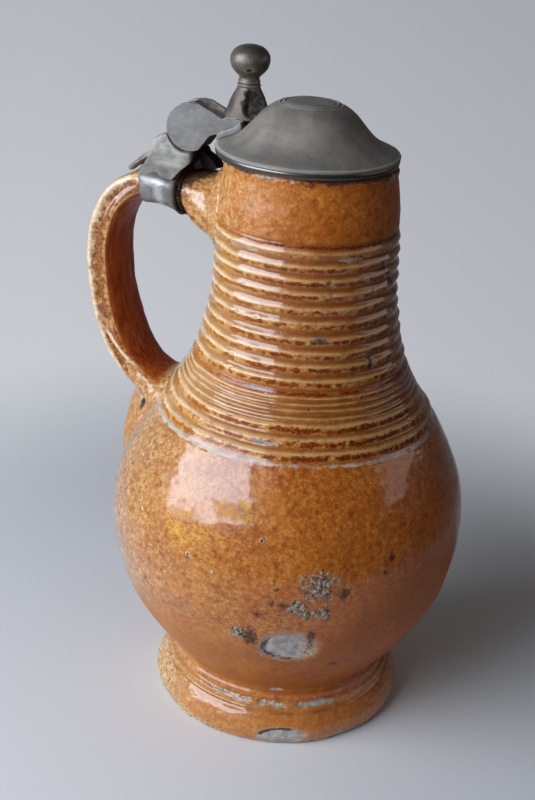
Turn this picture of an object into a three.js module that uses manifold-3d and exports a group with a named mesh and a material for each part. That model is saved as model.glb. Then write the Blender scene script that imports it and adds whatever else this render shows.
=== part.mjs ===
// A salt-glazed stoneware jug with a strap handle and a hinged, domed pewter lid.
// Millimetres, +Z up. The origin is the centre of the flat base, and the handle is towards -X.
// The hinge pin lies along Y, over the top of the handle, and the lid lifts about it.

import * as THREE from "three";
import { mergeVertices } from "three/addons/utils/BufferGeometryUtils.js";
import Module from "manifold-3d";

// The jug's own height, and the gap left between pieces that touch
const RIM_HEIGHT = 240;
const GAP = 0.35;
const ROUND_STEPS = 40; // facets round the vessel and the lid
const SAME_POINT = 1e-4; // vertices closer than this are one

// Ribs thrown into the shoulder and the neck: the pitch opens out a little on the way up
const RIB_COUNT = 16;
const FIRST_RIB = 135.8;
const RIB_PITCH = 4.65;
const RIB_PITCH_GROWTH = 0.028;
const RIB_RELIEF = 0.45;

// Vessel outline, [radius, height], from the middle of the base up to the first rib
const FOOT_AND_BELLY = [
  [0, 0],
  [51.8, 0],
  [53.2, 1.6],
  [53.9, 4.9],
  [53.4, 8.2],
  [52, 11.2],
  [50.8, 14.8],
  [48.7, 16.2],
  [48.5, 17.6],
  [46.5, 19.8],
  [46.3, 22.2],
  [47.4, 25],
  [52.9, 32],
  [58.4, 39.4],
  [65.8, 51.7],
  [69.2, 59],
  [71.5, 66.5],
  [73.5, 75],
  [74.5, 83.7],
  [74.4, 92],
  [73.3, 100.9],
  [70.8, 109.8],
  [67, 118.2],
  [62.8, 126],
  [58.6, 132.9],
];
// Radius of the shoulder and the neck, [height, radius], which the ribs stand out from
const RIBBED_ZONE = [
  [133, 58.3],
  [140.2, 53.4],
  [147.7, 48.6],
  [157, 44.1],
  [167.4, 40.7],
  [177, 38.6],
  [187.1, 37],
  [199, 36.5],
  [216, 36.5],
];
// Plain band and rim, then the inside of the wall down to the middle of the floor
const BAND_AND_RIM = [
  [36.3, 215.6],
  [35.7, 222],
  [34.4, 231],
  [33.9, 235],
  [34.1, 237.2],
  [33.4, 238.5],
  [32.2, 239.3],
  [31.5, RIM_HEIGHT],
];
const INSIDE = [
  [30.3, RIM_HEIGHT],
  [29.6, 238.8],
  [30, 228],
  [31.2, 211],
  [32, 187],
  [36, 167.5],
  [43.2, 148],
  [52.2, 133],
  [60.8, 118],
  [67.2, 101],
  [68.4, 84],
  [65.4, 66],
  [59, 50.5],
  [49.5, 37],
  [41, 27],
  [39.8, 19],
  [37, 12.5],
  [29, 9.4],
  [0, 9],
];

// Strap handle: stations down its middle, from inside the neck to inside the shoulder.
// tilt is how far its run has turned down, in degrees.
const STRAP_HALF_WIDTH = 13;
const STRAP_HALF_THICKNESS = 5.2;
const STRAP_ROOT_STATIONS = [
  { x: -28, z: 215.4, tilt: 0, halfWidth: 17, halfThickness: 15 },
  { x: -38, z: 216, tilt: 0, halfWidth: 15.4, halfThickness: 13.4 },
  { x: -41, z: 217.8, tilt: 0, halfWidth: 14, halfThickness: 10.6 },
  { x: -45, z: 220.2, tilt: 0, halfWidth: 13.3, halfThickness: 7.6 },
  { x: -49.5, z: 221.7, tilt: 0 },
  { x: -60, z: 222.2, tilt: 2 },
  { x: -67.5, z: 221.4, tilt: 14 },
  { x: -74.2, z: 218.4, tilt: 35 },
];
const STRAP_GRIP_STATIONS = [
  { x: -79.2, z: 213.9, tilt: 50 },
  { x: -82.8, z: 208, tilt: 63 },
  { x: -85.3, z: 201.2, tilt: 74 },
  { x: -86.5, z: 193.8, tilt: 85 },
  { x: -86.5, z: 186, tilt: 94 },
  { x: -85.6, z: 177, tilt: 99 },
  { x: -84, z: 168, tilt: 102 },
  { x: -81.6, z: 159.4, tilt: 108 },
  { x: -78.3, z: 151.2, tilt: 116 },
  { x: -74, z: 143.8, tilt: 126 },
  { x: -68.8, z: 138, tilt: 138 },
];
const STRAP_FOOT_STATIONS = [
  { x: -62, z: 133, tilt: 146, halfWidth: 13.4, halfThickness: 6 },
  { x: -53, z: 127.4, tilt: 148, halfWidth: 14.6, halfThickness: 7.4 },
];
// Half of the strap's section, as shares of its half width and half thickness. It is oval
// at the root and the foot. The grip has a shallow finger groove outside, a groove down
// each side between two edges, and a flat inside.
const STRAP_END_SECTION = [
  [0, 1],
  [0.4, 0.96],
  [0.72, 0.76],
  [0.93, 0.42],
  [1, 0],
  [0.94, -0.46],
  [0.76, -0.78],
  [0.42, -0.97],
  [0, -1],
];
const STRAP_GRIP_SECTION = [
  [0, 0.86],
  [0.5, 0.95],
  [0.84, 1],
  [0.97, 0.84],
  [0.93, 0.2],
  [1, -0.5],
  [0.9, -0.92],
  [0.5, -1],
  [0, -1],
];
// Tail of the handle, pressed down the belly at the strap's full width: how far out it
// reaches, and how wide its ovals are
const TAIL_ROOT = 58; // the middle of its ovals, inside the belly
const TAIL_STEPS = 16;
const TAIL_STATIONS = [
  { z: 92.5, reach: 74.8, halfWidth: 9 },
  { z: 96, reach: 76.4, halfWidth: 14 },
  { z: 102, reach: 77.8, halfWidth: 16.6 },
  { z: 109, reach: 77.6, halfWidth: 17 },
  { z: 117, reach: 76.2, halfWidth: 15.6 },
  { z: 124.5, reach: 74, halfWidth: 13.6 },
  { z: 130, reach: 72.2, halfWidth: 13.1 },
  { z: 136, reach: 69, halfWidth: 12.8 },
];

// Packing and pewter band round the handle, and where each is cut off, seen from the side
const PACKING_THICKNESS = 0.8;
const COLLAR_THICKNESS = 1.7;
const PACKING_IN = GAP;
const PACKING_OUT = PACKING_IN + PACKING_THICKNESS;
const COLLAR_IN = PACKING_OUT + GAP;
const COLLAR_OUT = COLLAR_IN + COLLAR_THICKNESS;
const PACKING_SIDE = [
  [-67.6, 232],
  [-65, 211],
  [-46.6, 211],
  [-49.8, 220],
  [-49.6, 232],
];
const COLLAR_SIDE = [
  [-68.6, 232],
  [-65.6, 211],
  [-48.2, 211],
  [-52.2, 223],
  [-52, 232],
];

// Hinge: its axis, the pin, the fork's two outer knuckles, and the room between them
const HINGE_X = -50.2;
const HINGE_Z = 245.2;
const PIN_RADIUS = 2;
const PIN_NEAR_END = -5.2;
const BORE_RADIUS = PIN_RADIUS + 0.3;
const BORE_NEAR_END = -5.5; // blind, so that the near side is smooth
const KNUCKLE_RADIUS = 9.5;
const KNUCKLE_STEPS = 32;
const FORK_HALF_WIDTH = 6.5;
const SLOT_HALF_WIDTH = 3.3;
const HOOD_RADIUS = 7.8; // inside of the hood that joins the two knuckles on top
const HOOD_BACK_X = -50.4; // where the hood ends behind the hinge
const HOOD_FOOT_Z = 242.6; // where it ends in front
const PIN_PROFILE = [
  [0, PIN_NEAR_END],
  [PIN_RADIUS, PIN_NEAR_END],
  [PIN_RADIUS, 6.9],
  [3.2, 6.9],
  [3.2, 7.4],
  [2.4, 7.9],
  [0, 8.1],
];

// Bracket: its outline from the side, half of it from the front, its middle knuckle,
// and the web that runs out towards the neck
const BRACKET_SIDE = [
  [-67.3, 226],
  [-67, 227.4],
  [-65.6, 230],
  [-64.5, 234.8],
  [-65.4, 238.8],
  [-59.3, 241.6],
  [-50, 240],
  [-47, 236.4],
  [-46.7, 232.8],
  [-49.7, 229.6],
  [-52.4, 226],
];
const BRACKET_FRONT = [
  [15.5, 226],
  [14.8, 228.4],
  [12.2, 231],
  [8.8, 234.2],
  [7, 237.6],
  [6.5, 243],
];
const BRACKET_REACH = 20;
const TONGUE_HALF_WIDTH = 2.9;
const TONGUE_RADIUS = 7.4;
const CRADLE_RADIUS = KNUCKLE_RADIUS + 0.4;
const WEB_SIDE = [
  [-52, 225],
  [-52, 237],
  [-46.2, 236],
  [-39.6, 229.8],
  [-39, 226],
];
const WEB_NEAR = -1;
const WEB_FAR = 6.2;
// Leaf of the bracket's casting, which lies over the top of the handle
const LEAF_STATIONS = [
  { x: -62.5, z: 232.6, tilt: 12, halfWidth: 3.4, halfThickness: 1.4 },
  { x: -67.5, z: 231.5, tilt: 22, halfWidth: 4.6, halfThickness: 1.5 },
  { x: -72, z: 228.4, tilt: 34, halfWidth: 5.2, halfThickness: 1.4 },
  { x: -75.6, z: 225.6, tilt: 38, halfWidth: 4.6, halfThickness: 1.2 },
  { x: -77.6, z: 224, tilt: 40, halfWidth: 3, halfThickness: 0.9 },
];
const LEAF_SECTION = [
  [0, 1],
  [0.7, 0.8],
  [1, 0],
  [0.7, -0.8],
  [0, -1],
];

// Lid: the dome outside, [radius, height], then its edge, seating ring and hollow
const LID_X = -2.3;
const LID_BOTTOM = RIM_HEIGHT + GAP;
const LID_DOME = [
  [0, 260.9],
  [8, 260.6],
  [12.2, 259.7],
  [15.5, 258],
  [18.5, 255.6],
  [21, 252.9],
  [23.5, 250],
  [26, 247.5],
  [28.5, 245.7],
  [31, 244.5],
  [33.5, 243.5],
  [35.3, 242.5],
  [36, 241.6],
  [35.9, 239.7],
  [35.4, 239.3],
  [34.9, 239.3],
  [34.7, LID_BOTTOM],
];
const LID_HOLLOW = [
  [26.5, LID_BOTTOM],
  [26.5, 235.4],
  [24.6, 235.4],
  [24.6, 246],
  [19.6, 251.6],
  [13.2, 256.4],
  [6, 258.5],
  [0, 258.8],
];

// Lid arm from the side: round the knuckle, out over the lid's slope, and back along the top
const ARM_ARC_START = 94; // degrees round the hinge axis, from +X
const ARM_ARC_END = 298;
const ARM_ARC_STEPS = 16;
const ARM_SIDE = [
  [-41.2, 243],
  [-37.2, 244.6],
  [-35.3, 245.8],
  [-32.8, 246.8],
  [-30.3, 248],
  [-27.8, 250.2],
  [-26.4, 251.6],
  [-34.4, 251.6],
  [-36, 250.4],
  [-48.9, 256],
];
// Scoop in the arm's top, between the knuckles and the thumbpiece
const SCOOP_PLACE = [-43.2, 0, 254.6];
const SCOOP_RADII = [8.8, 5.3, 3.6];
const SCOOP_SLOPE = 24; // degrees down towards the lid
const SCOOP_STEPS = 14;
const SOLDER_SIDE = [
  [-37.7, 242.2],
  [-37.5, 244],
  [-35.4, 245.35],
  [-32.8, 246.4],
  [-30.6, 247.4],
  [-28.2, 249.4],
  [-27.4, 246],
];
const SOLDER_HALF_WIDTH = 7.2;

// Thumbpiece: ovals up its middle, a flared foot, two turned lines, a neck and a ball
const THUMB_X = -28.2;
const THUMB_FOOT = 251.95;
const THUMB_STEPS = 20;
const THUMB_OVALS = [
  { z: 249, radiusX: 7.9, radiusY: 6.4 },
  { z: 255.6, radiusX: 7.8, radiusY: 6.3 },
  { z: 258.4, radiusX: 6.9, radiusY: 5.7 },
  { z: 260.5, radiusX: 5.9, radiusY: 5.1 },
  { z: 262.6, radiusX: 5, radiusY: 4.7 },
  { z: 263.6, radiusX: 5.1, radiusY: 5 },
  { z: 264.6, radiusX: 4.5, radiusY: 4.5 },
  { z: 266.4, radiusX: 4.3, radiusY: 4.3 },
  { z: 267.8, radiusX: 5.1, radiusY: 5.1 },
  { z: 269.6, radiusX: 6.6, radiusY: 6.6 },
  { z: 271.4, radiusX: 7.4, radiusY: 7.4 },
];
const BALL_Z = 273.4;
const BALL_RADIUS = 7.7;
const BALL_HALF_HEIGHT = 5.6;
const BALL_STEPS = 6;
const BALL_START = 0; // degrees of latitude
const BALL_END = 88;
// Rough hollow in the thumbpiece's foot
const HOLLOW_PLACE = [-23.6, -5.6, 256.6];
const HOLLOW_RADII = [3.9, 3, 4.8];
const HOLLOW_STEPS = 10;

const STONEWARE_COLOUR = 0xb8682c;
const PEWTER_COLOUR = 0x6f716f;
const DARK_PEWTER_COLOUR = 0x4c4d4a;
const SOLDER_COLOUR = 0x8f8d86;
const PACKING_COLOUR = 0x2e2822;

const wasm = await Module();
wasm.setup();

// Solids and geometries

function solidFrom(geometry) {
  const bare = geometry.clone();
  bare.deleteAttribute("normal");
  bare.deleteAttribute("uv");
  const merged = mergeVertices(bare, SAME_POINT);
  const mesh = new wasm.Mesh({
    numProp: 3,
    vertProperties: merged.attributes.position.array,
    triVerts: new Uint32Array(merged.index.array),
  });
  return new wasm.Manifold(mesh);
}

function geometryFrom(solid) {
  const mesh = solid.getMesh();
  const geometry = new THREE.BufferGeometry();
  geometry.setAttribute("position", new THREE.BufferAttribute(mesh.vertProperties, 3));
  geometry.setIndex(new THREE.BufferAttribute(mesh.triVerts, 1));
  return geometry;
}

// A solid of revolution about Z from a profile of [radius, height], going up on the outside
function turned(profile, centreX = 0) {
  const points = profile.map(([radius, height]) => new THREE.Vector2(radius, height));
  const geometry = new THREE.LatheGeometry(points, ROUND_STEPS);
  geometry.rotateX(Math.PI / 2);
  geometry.translate(centreX, 0, 0);
  return solidFrom(geometry);
}

// A side outline of [x, z] points, extruded along Y
function sideSlab(outline, near, far) {
  const shape = new THREE.Shape(outline.map(([x, z]) => new THREE.Vector2(x, z)));
  const settings = { depth: far - near, bevelEnabled: false };
  const geometry = new THREE.ExtrudeGeometry(shape, settings);
  geometry.rotateX(Math.PI / 2);
  geometry.translate(0, far, 0);
  return solidFrom(geometry);
}

// Half of a front outline of [y, z] points, mirrored and extruded along X
function frontSlab(halfOutline, low, high) {
  const mirrored = halfOutline.map(([y, z]) => [-y, z]).reverse();
  const outline = [...halfOutline, ...mirrored];
  const shape = new THREE.Shape(outline.map(([y, z]) => new THREE.Vector2(y, z)));
  const settings = { depth: high - low, bevelEnabled: false };
  const geometry = new THREE.ExtrudeGeometry(shape, settings);
  const alongY = new THREE.Vector3(0, 1, 0);
  const alongZ = new THREE.Vector3(0, 0, 1);
  const alongX = new THREE.Vector3(1, 0, 0);
  geometry.applyMatrix4(new THREE.Matrix4().makeBasis(alongY, alongZ, alongX));
  geometry.translate(low, 0, 0);
  return solidFrom(geometry);
}

// A closed skin over rings of points, all of one length, with a fan over either end
function loft(rings) {
  const count = rings[0].length;
  const lastRing = (rings.length - 1) * count;
  const middle = (ring) =>
    ring.reduce((sum, point) => sum.add(point), new THREE.Vector3()).divideScalar(count);
  const points = [...rings.flat(), middle(rings[0]), middle(rings.at(-1))];
  const startFan = points.length - 2;
  const endFan = points.length - 1;
  const faces = [];
  for (let i = 0; i < count; i++) {
    const j = (i + 1) % count;
    for (let a = 0; a < lastRing; a += count) {
      const b = a + count;
      faces.push(a + i, a + j, b + j);
      faces.push(a + i, b + j, b + i);
    }
    faces.push(startFan, j, i);
    faces.push(endFan, lastRing + i, lastRing + j);
  }
  const geometry = new THREE.BufferGeometry().setFromPoints(points);
  geometry.setIndex(faces);
  return solidFrom(geometry);
}

// A ring across a strap that runs away from the neck in the XZ plane
function strapRing(station, section, growth) {
  const { halfWidth = STRAP_HALF_WIDTH, halfThickness = STRAP_HALF_THICKNESS } = station;
  const tilt = THREE.MathUtils.degToRad(station.tilt);
  const outwards = new THREE.Vector3(-Math.sin(tilt), 0, Math.cos(tilt));
  const mirrored = section.filter(([u]) => u > 0).map(([u, v]) => [-u, v]);
  return [...section, ...mirrored.reverse()].map(([u, v]) => {
    const point = new THREE.Vector3(station.x, u * (halfWidth + growth), station.z);
    return point.addScaledVector(outwards, v * (halfThickness + growth));
  });
}

function strap(growth) {
  const root = STRAP_ROOT_STATIONS.map((at) => strapRing(at, STRAP_END_SECTION, growth));
  const grip = STRAP_GRIP_STATIONS.map((at) => strapRing(at, STRAP_GRIP_SECTION, growth));
  const foot = STRAP_FOOT_STATIONS.map((at) => strapRing(at, STRAP_END_SECTION, growth));
  return loft([...root, ...grip, ...foot]);
}

function oval(centreX, z, radiusX, radiusY, steps) {
  return Array.from({ length: steps }, (_, i) => {
    const angle = (2 * Math.PI * i) / steps;
    const x = centreX + radiusX * Math.cos(angle);
    return new THREE.Vector3(x, radiusY * Math.sin(angle), z);
  });
}

// A cylinder round the hinge axis
function hingeCylinder(radius, near, far) {
  const geometry = new THREE.CylinderGeometry(radius, radius, far - near, KNUCKLE_STEPS);
  geometry.translate(HINGE_X, (near + far) / 2, HINGE_Z);
  return solidFrom(geometry);
}

// Radius of the ribbed zone at a height, between the two points beside it
function ribbedRadius(height) {
  const next = RIBBED_ZONE.findIndex(([z]) => z >= height);
  const [lowZ, lowRadius] = RIBBED_ZONE[next - 1];
  const [highZ, highRadius] = RIBBED_ZONE[next];
  return lowRadius + ((highRadius - lowRadius) * (height - lowZ)) / (highZ - lowZ);
}

function ribHeight(i) {
  return FIRST_RIB + RIB_PITCH * i + RIB_PITCH_GROWTH * i * i;
}

// Crests and the grooves over them, all the way up
function ribs() {
  const points = [];
  for (let i = 0; i < RIB_COUNT; i++) {
    const crest = ribHeight(i);
    const groove = (crest + ribHeight(i + 1)) / 2;
    points.push([ribbedRadius(crest) + RIB_RELIEF, crest]);
    points.push([ribbedRadius(groove) - RIB_RELIEF, groove]);
  }
  return points;
}

const vesselOutside = [...FOOT_AND_BELLY, ...ribs(), ...BAND_AND_RIM];

// The vessel filled in and grown, to cut what is luted to it
function vesselPlug(growth) {
  const grown = vesselOutside.slice(1).map(([radius, height]) => [radius + growth, height]);
  return turned([[0, 0], ...grown, [0, RIM_HEIGHT]]);
}

// The lid's dome filled in and raised, to cut what stands on it
function lidPlug(growth) {
  const top = LID_DOME.filter(([, height]) => height > LID_BOTTOM);
  const grown = top.map(([radius, height]) => [radius && radius + growth, height + growth]);
  return turned([[0, LID_BOTTOM], ...grown.reverse()], LID_X);
}

// The pieces

function makeVessel() {
  return turned([...vesselOutside, ...INSIDE]);
}

function makeHandle() {
  const tail = loft(
    TAIL_STATIONS.map(({ z, reach, halfWidth }) =>
      oval(-TAIL_ROOT, z, reach - TAIL_ROOT, halfWidth, TAIL_STEPS),
    ),
  );
  return strap(0).add(tail).subtract(vesselPlug(GAP));
}

// The strap grown, and cut off by a side outline
function strapLength(growth, outline) {
  return strap(growth).intersect(sideSlab(outline, -BRACKET_REACH, BRACKET_REACH));
}

// The room that a sleeve round the strap takes, with the gap left round it
function sleeveRoom(growth, outline) {
  const centreX = outline.reduce((sum, [x]) => sum + x, 0) / outline.length;
  const widened = outline.map(([x, z]) => [x + Math.sign(x - centreX) * GAP, z]);
  return strapLength(growth + GAP, widened);
}

function makeCollarPacking() {
  return strapLength(PACKING_OUT, PACKING_SIDE).subtract(strap(PACKING_IN));
}

function makeHandleCollar() {
  return strapLength(COLLAR_OUT, COLLAR_SIDE).subtract(strap(COLLAR_IN));
}

function makeHingeBracket() {
  const side = sideSlab(BRACKET_SIDE, -BRACKET_REACH, BRACKET_REACH);
  const front = frontSlab(BRACKET_FRONT, HINGE_X - BRACKET_REACH, HINGE_X + BRACKET_REACH);
  const web = sideSlab(WEB_SIDE, WEB_NEAR, WEB_FAR);
  const leaf = loft(LEAF_STATIONS.map((station) => strapRing(station, LEAF_SECTION, 0)));
  const nearCradle = hingeCylinder(CRADLE_RADIUS, -BRACKET_REACH, -TONGUE_HALF_WIDTH);
  const farCradle = hingeCylinder(CRADLE_RADIUS, TONGUE_HALF_WIDTH, BRACKET_REACH);
  const tongue = hingeCylinder(TONGUE_RADIUS, -TONGUE_HALF_WIDTH, TONGUE_HALF_WIDTH);
  const bore = hingeCylinder(BORE_RADIUS, -BRACKET_REACH, BRACKET_REACH);
  return side
    .intersect(front)
    .add(web)
    .add(leaf)
    .subtract(nearCradle)
    .subtract(farCradle)
    .add(tongue)
    .subtract(bore)
    .subtract(sleeveRoom(COLLAR_OUT, COLLAR_SIDE))
    .subtract(sleeveRoom(PACKING_OUT, PACKING_SIDE))
    .subtract(strap(GAP));
}

function makeLid() {
  return turned([...LID_DOME, ...LID_HOLLOW].reverse(), LID_X);
}

function makeLidArm() {
  const arc = [];
  for (let i = 0; i <= ARM_ARC_STEPS; i++) {
    const degrees = ARM_ARC_START + ((ARM_ARC_END - ARM_ARC_START) * i) / ARM_ARC_STEPS;
    const angle = THREE.MathUtils.degToRad(degrees);
    arc.push([
      HINGE_X + KNUCKLE_RADIUS * Math.cos(angle),
      HINGE_Z + KNUCKLE_RADIUS * Math.sin(angle),
    ]);
  }
  const slotSide = [
    [HINGE_X - BRACKET_REACH, HINGE_Z - BRACKET_REACH],
    [HINGE_X + BRACKET_REACH, HINGE_Z - BRACKET_REACH],
    [HINGE_X + BRACKET_REACH, HOOD_FOOT_Z],
    [HOOD_BACK_X, HOOD_FOOT_Z],
    [HOOD_BACK_X, HINGE_Z + BRACKET_REACH],
    [HINGE_X - BRACKET_REACH, HINGE_Z + BRACKET_REACH],
  ];
  const scoop = new THREE.SphereGeometry(1, SCOOP_STEPS, SCOOP_STEPS);
  scoop.scale(...SCOOP_RADII);
  scoop.rotateY(THREE.MathUtils.degToRad(SCOOP_SLOPE));
  scoop.translate(...SCOOP_PLACE);
  return sideSlab([...arc, ...ARM_SIDE], -FORK_HALF_WIDTH, FORK_HALF_WIDTH)
    .subtract(sideSlab(slotSide, -SLOT_HALF_WIDTH, SLOT_HALF_WIDTH))
    .subtract(hingeCylinder(HOOD_RADIUS, -SLOT_HALF_WIDTH, SLOT_HALF_WIDTH))
    .subtract(solidFrom(scoop))
    .subtract(hingeCylinder(BORE_RADIUS, BORE_NEAR_END, BRACKET_REACH));
}

function makeArmSolder() {
  return sideSlab(SOLDER_SIDE, -SOLDER_HALF_WIDTH, SOLDER_HALF_WIDTH).subtract(lidPlug(GAP));
}

function makeThumbpiece() {
  const stem = THUMB_OVALS.map(({ z, radiusX, radiusY }) =>
    oval(THUMB_X, z, radiusX, radiusY, THUMB_STEPS),
  );
  const ball = Array.from({ length: BALL_STEPS }, (_, i) => {
    const latitude = BALL_START + ((BALL_END - BALL_START) * i) / (BALL_STEPS - 1);
    const angle = THREE.MathUtils.degToRad(latitude);
    const radius = BALL_RADIUS * Math.cos(angle);
    return oval(THUMB_X, BALL_Z + BALL_HALF_HEIGHT * Math.sin(angle), radius, radius, THUMB_STEPS);
  });
  const hollow = new THREE.SphereGeometry(1, HOLLOW_STEPS, HOLLOW_STEPS);
  hollow.scale(...HOLLOW_RADII);
  hollow.translate(...HOLLOW_PLACE);
  const below = [
    [HINGE_X, HINGE_Z - BRACKET_REACH],
    [0, HINGE_Z - BRACKET_REACH],
    [0, THUMB_FOOT],
    [HINGE_X, THUMB_FOOT],
  ];
  return loft([...stem, ...ball])
    .subtract(solidFrom(hollow))
    .subtract(sideSlab(below, -BRACKET_REACH, BRACKET_REACH))
    .subtract(lidPlug(GAP));
}

function makeHingePin() {
  const points = PIN_PROFILE.map(([radius, y]) => new THREE.Vector2(radius, y));
  const geometry = new THREE.LatheGeometry(points, KNUCKLE_STEPS);
  geometry.translate(HINGE_X, 0, HINGE_Z);
  return solidFrom(geometry);
}

// The scene: what stands still, and what turns with the lid about the hinge

const stoneware = { color: STONEWARE_COLOUR, roughness: 0.35, metalness: 0 };
const pewter = { color: PEWTER_COLOUR, roughness: 0.5, metalness: 0.8 };
const darkPewter = { color: DARK_PEWTER_COLOUR, roughness: 0.55, metalness: 0.8 };
const solder = { color: SOLDER_COLOUR, roughness: 0.6, metalness: 0.7 };
const packing = { color: PACKING_COLOUR, roughness: 0.95, metalness: 0 };

function addPiece(group, name, solid, finish) {
  const geometry = geometryFrom(solid);
  geometry.translate(-group.position.x, -group.position.y, -group.position.z);
  const mesh = new THREE.Mesh(geometry, new THREE.MeshStandardMaterial(finish));
  mesh.name = name;
  group.add(mesh);
}

const fixed = new THREE.Group();
addPiece(fixed, "vessel", makeVessel(), stoneware);
addPiece(fixed, "handle", makeHandle(), stoneware);
addPiece(fixed, "collar_packing", makeCollarPacking(), packing);
addPiece(fixed, "handle_collar", makeHandleCollar(), pewter);
addPiece(fixed, "hinge_bracket", makeHingeBracket(), pewter);

const lifting = new THREE.Group();
lifting.position.set(HINGE_X, 0, HINGE_Z);
addPiece(lifting, "lid", makeLid(), darkPewter);
addPiece(lifting, "lid_arm", makeLidArm(), pewter);
addPiece(lifting, "arm_solder", makeArmSolder(), solder);
addPiece(lifting, "thumbpiece", makeThumbpiece(), darkPewter);
addPiece(lifting, "hinge_pin", makeHingePin(), pewter);

const jug = new THREE.Group();
jug.add(fixed, lifting);
export default jug;
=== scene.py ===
"""A salt-glazed stoneware jug with a hinged pewter lid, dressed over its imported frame.

Shapes are worked out in millimetres in the frame's own axes, with +Z up and the handle
towards -X, and go to the meshes in metres. Angles round the jug are in degrees from +X.
"""

import math

import bmesh
import bpy
import numpy as np
from mathutils import Matrix, Vector, noise


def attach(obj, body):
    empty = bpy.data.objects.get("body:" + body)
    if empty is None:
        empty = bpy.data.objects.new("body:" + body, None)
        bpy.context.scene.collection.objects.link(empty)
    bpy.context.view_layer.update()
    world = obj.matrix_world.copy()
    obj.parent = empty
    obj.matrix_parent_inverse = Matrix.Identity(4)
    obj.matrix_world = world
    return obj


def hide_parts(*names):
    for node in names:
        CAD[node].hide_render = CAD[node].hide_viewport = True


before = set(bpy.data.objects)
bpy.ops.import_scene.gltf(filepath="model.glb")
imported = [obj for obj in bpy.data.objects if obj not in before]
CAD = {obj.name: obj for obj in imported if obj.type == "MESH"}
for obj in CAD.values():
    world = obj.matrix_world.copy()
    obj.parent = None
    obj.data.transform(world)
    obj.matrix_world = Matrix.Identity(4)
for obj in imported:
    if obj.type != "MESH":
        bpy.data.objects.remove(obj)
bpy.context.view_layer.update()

MM = 0.001
SCENE = bpy.context.scene

# Camera, fitted to the photograph
CAMERA_AZIMUTH = 18.0
CAMERA_DISTANCE = 504.6
CAMERA_HEIGHT = 363.3
CAMERA_PITCH = 24.30
CAMERA_YAW = -1.33
CAMERA_ROLL = 3.72
CAMERA_LENS = 59.6

# Stage and light
FLOOR_REACH = 1200
FLOOR_CORNERS = 48
FLOOR_FADE = (170, 400)
ROOM_LIGHT = 0.06
LEFT_WALL_LIGHT = 0.5
LAMP_AIM_HEIGHT = 120
LAMPS = [  # name, camera azimuth, elevation, distance, width, height, power, colour, roll
    ["key_softbox", -39.0, 23.0, 800, 880, 470, 10.5, "e4eeff", 20],
    ["back_panel", 112, 20, 900, 800, 240, 0.55, "fff6f0", 0],
]

# Vessel: [radius, height] up the outside, then down the inside
VESSEL_COLUMNS = 384
RIM_HEIGHT = 240.0
FOOT_AND_BELLY = [
    [0, 0], [30, 0], [50.6, 0], [52.4, 0.6], [53.5, 2.6], [53.9, 4.8], [53.5, 7.4], [52.3, 10.2],
    [50.9, 12.7], [49.9, 14.2], [49.0, 14.9], [48.9, 16.2], [48.8, 17.4], [47.4, 18.3],
    [47.2, 19.6], [47.0, 20.8], [46.2, 21.8], [46.8, 24.2], [49.4, 27.6], [52.9, 32],
    [58.4, 39.4], [65.8, 51.7], [69.2, 59], [71.5, 66.5], [73.5, 75], [74.5, 83.7], [74.4, 92],
    [73.3, 100.9], [70.8, 109.8], [67, 118.2], [62.8, 126], [58.6, 132.9],
]
SHOULDER_AND_NECK = [
    [53.4, 140.2], [48.5, 147.7], [43.9, 157], [40.4, 167.4], [38.3, 177], [36.8, 187.1],
    [36.3, 199], [36.2, 213], [36.1, 215.6], [35.7, 222], [34.4, 231], [33.9, 235],
    [34.1, 237.2], [33.5, 238.5], [32.4, 239.3], [31.6, RIM_HEIGHT],
]
INSIDE = [
    [31.2, RIM_HEIGHT], [30.0, 239.4], [29.6, 237.6], [30, 228], [31.2, 211], [32, 187],
    [36, 167.5], [43.2, 148], [52.2, 133], [60.8, 118], [67.2, 101], [68.4, 84], [65.4, 66],
    [59, 50.5], [49.5, 37], [41, 27], [39.8, 19], [37, 12.5], [29, 9.4], [0, 9],
]
# How far the thrown body leans off its axis, [height, millimetres], across the view
LEAN = [[0, 0.5], [37, 0.2], [86, -0.4], [135, 0.4], [185, 0], [210, -0.4], [240, -0.8]]

# Ribs: [height of the crest, relief], of which those with little relief are also narrow
RIBS = [
    [137.9, 0.75], [142.2, 0.7], [146.7, 0.7], [149.5, 0.5], [152.2, 0.46], [154.3, 0.46],
    [156.6, 0.5], [162.5, 0.75], [167.9, 0.75], [172.9, 0.8], [178.3, 0.8], [184.2, 0.8],
    [189.9, 0.8], [195.7, 0.8], [201.1, 0.8], [206.4, 0.75], [211.6, 0.58],
]
NARROW_RELIEF = (0.4, 0.55)
RIB_REACH = 6
SCRATCHED_LINES = [215.3, 159.4]
FOOT_LINES = [13.9, 18.6, 22.0]
SLIP_LINE = 134.6  # the pale line under the ribs

# Marks in the glaze: [angle, height, half its width, half its length up the wall]
SMEARS = [
    [-112, 210.6, 9, 0.8], [-43, 209.3, 5.5, 0.9], [-92, 158.3, 7, 0.8], [-84.5, 140.9, 6, 1.0],
    [-61, 178.8, 4.6, 1.0], [-27, 168.4, 1.6, 2.0],
]
SCAR = [-68.3, 60.6, 11.2, 8.6]
FOOT_SCAR = [-67.2, 4.6, 10.2, 4.0]
BARE_PATCHES = [
    SCAR, FOOT_SCAR, [-49.5, 17.2, 7, 1.3], [-36, 1.8, 9, 1.6], [-71.5, 23.6, 3, 0.9],
    [152, 137, 5, 1.5], [60, 186, 6, 1.3], [105, 12, 7, 2.2], [24, 3, 8, 2.0],
]
DEBRIS = [
    [-60.7, 91.8, 5.6, 5.4], [-66.8, 82.6, 3.6, 2.6], [-63.6, 79.4, 3.4, 2.2],
    [-59.2, 79.8, 2.4, 3.2], [-84.6, 66.6, 3.2, 3.0], [-61.7, 62.8, 1.3, 1.6], [120, 70, 3.4, 3.0],
]
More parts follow.
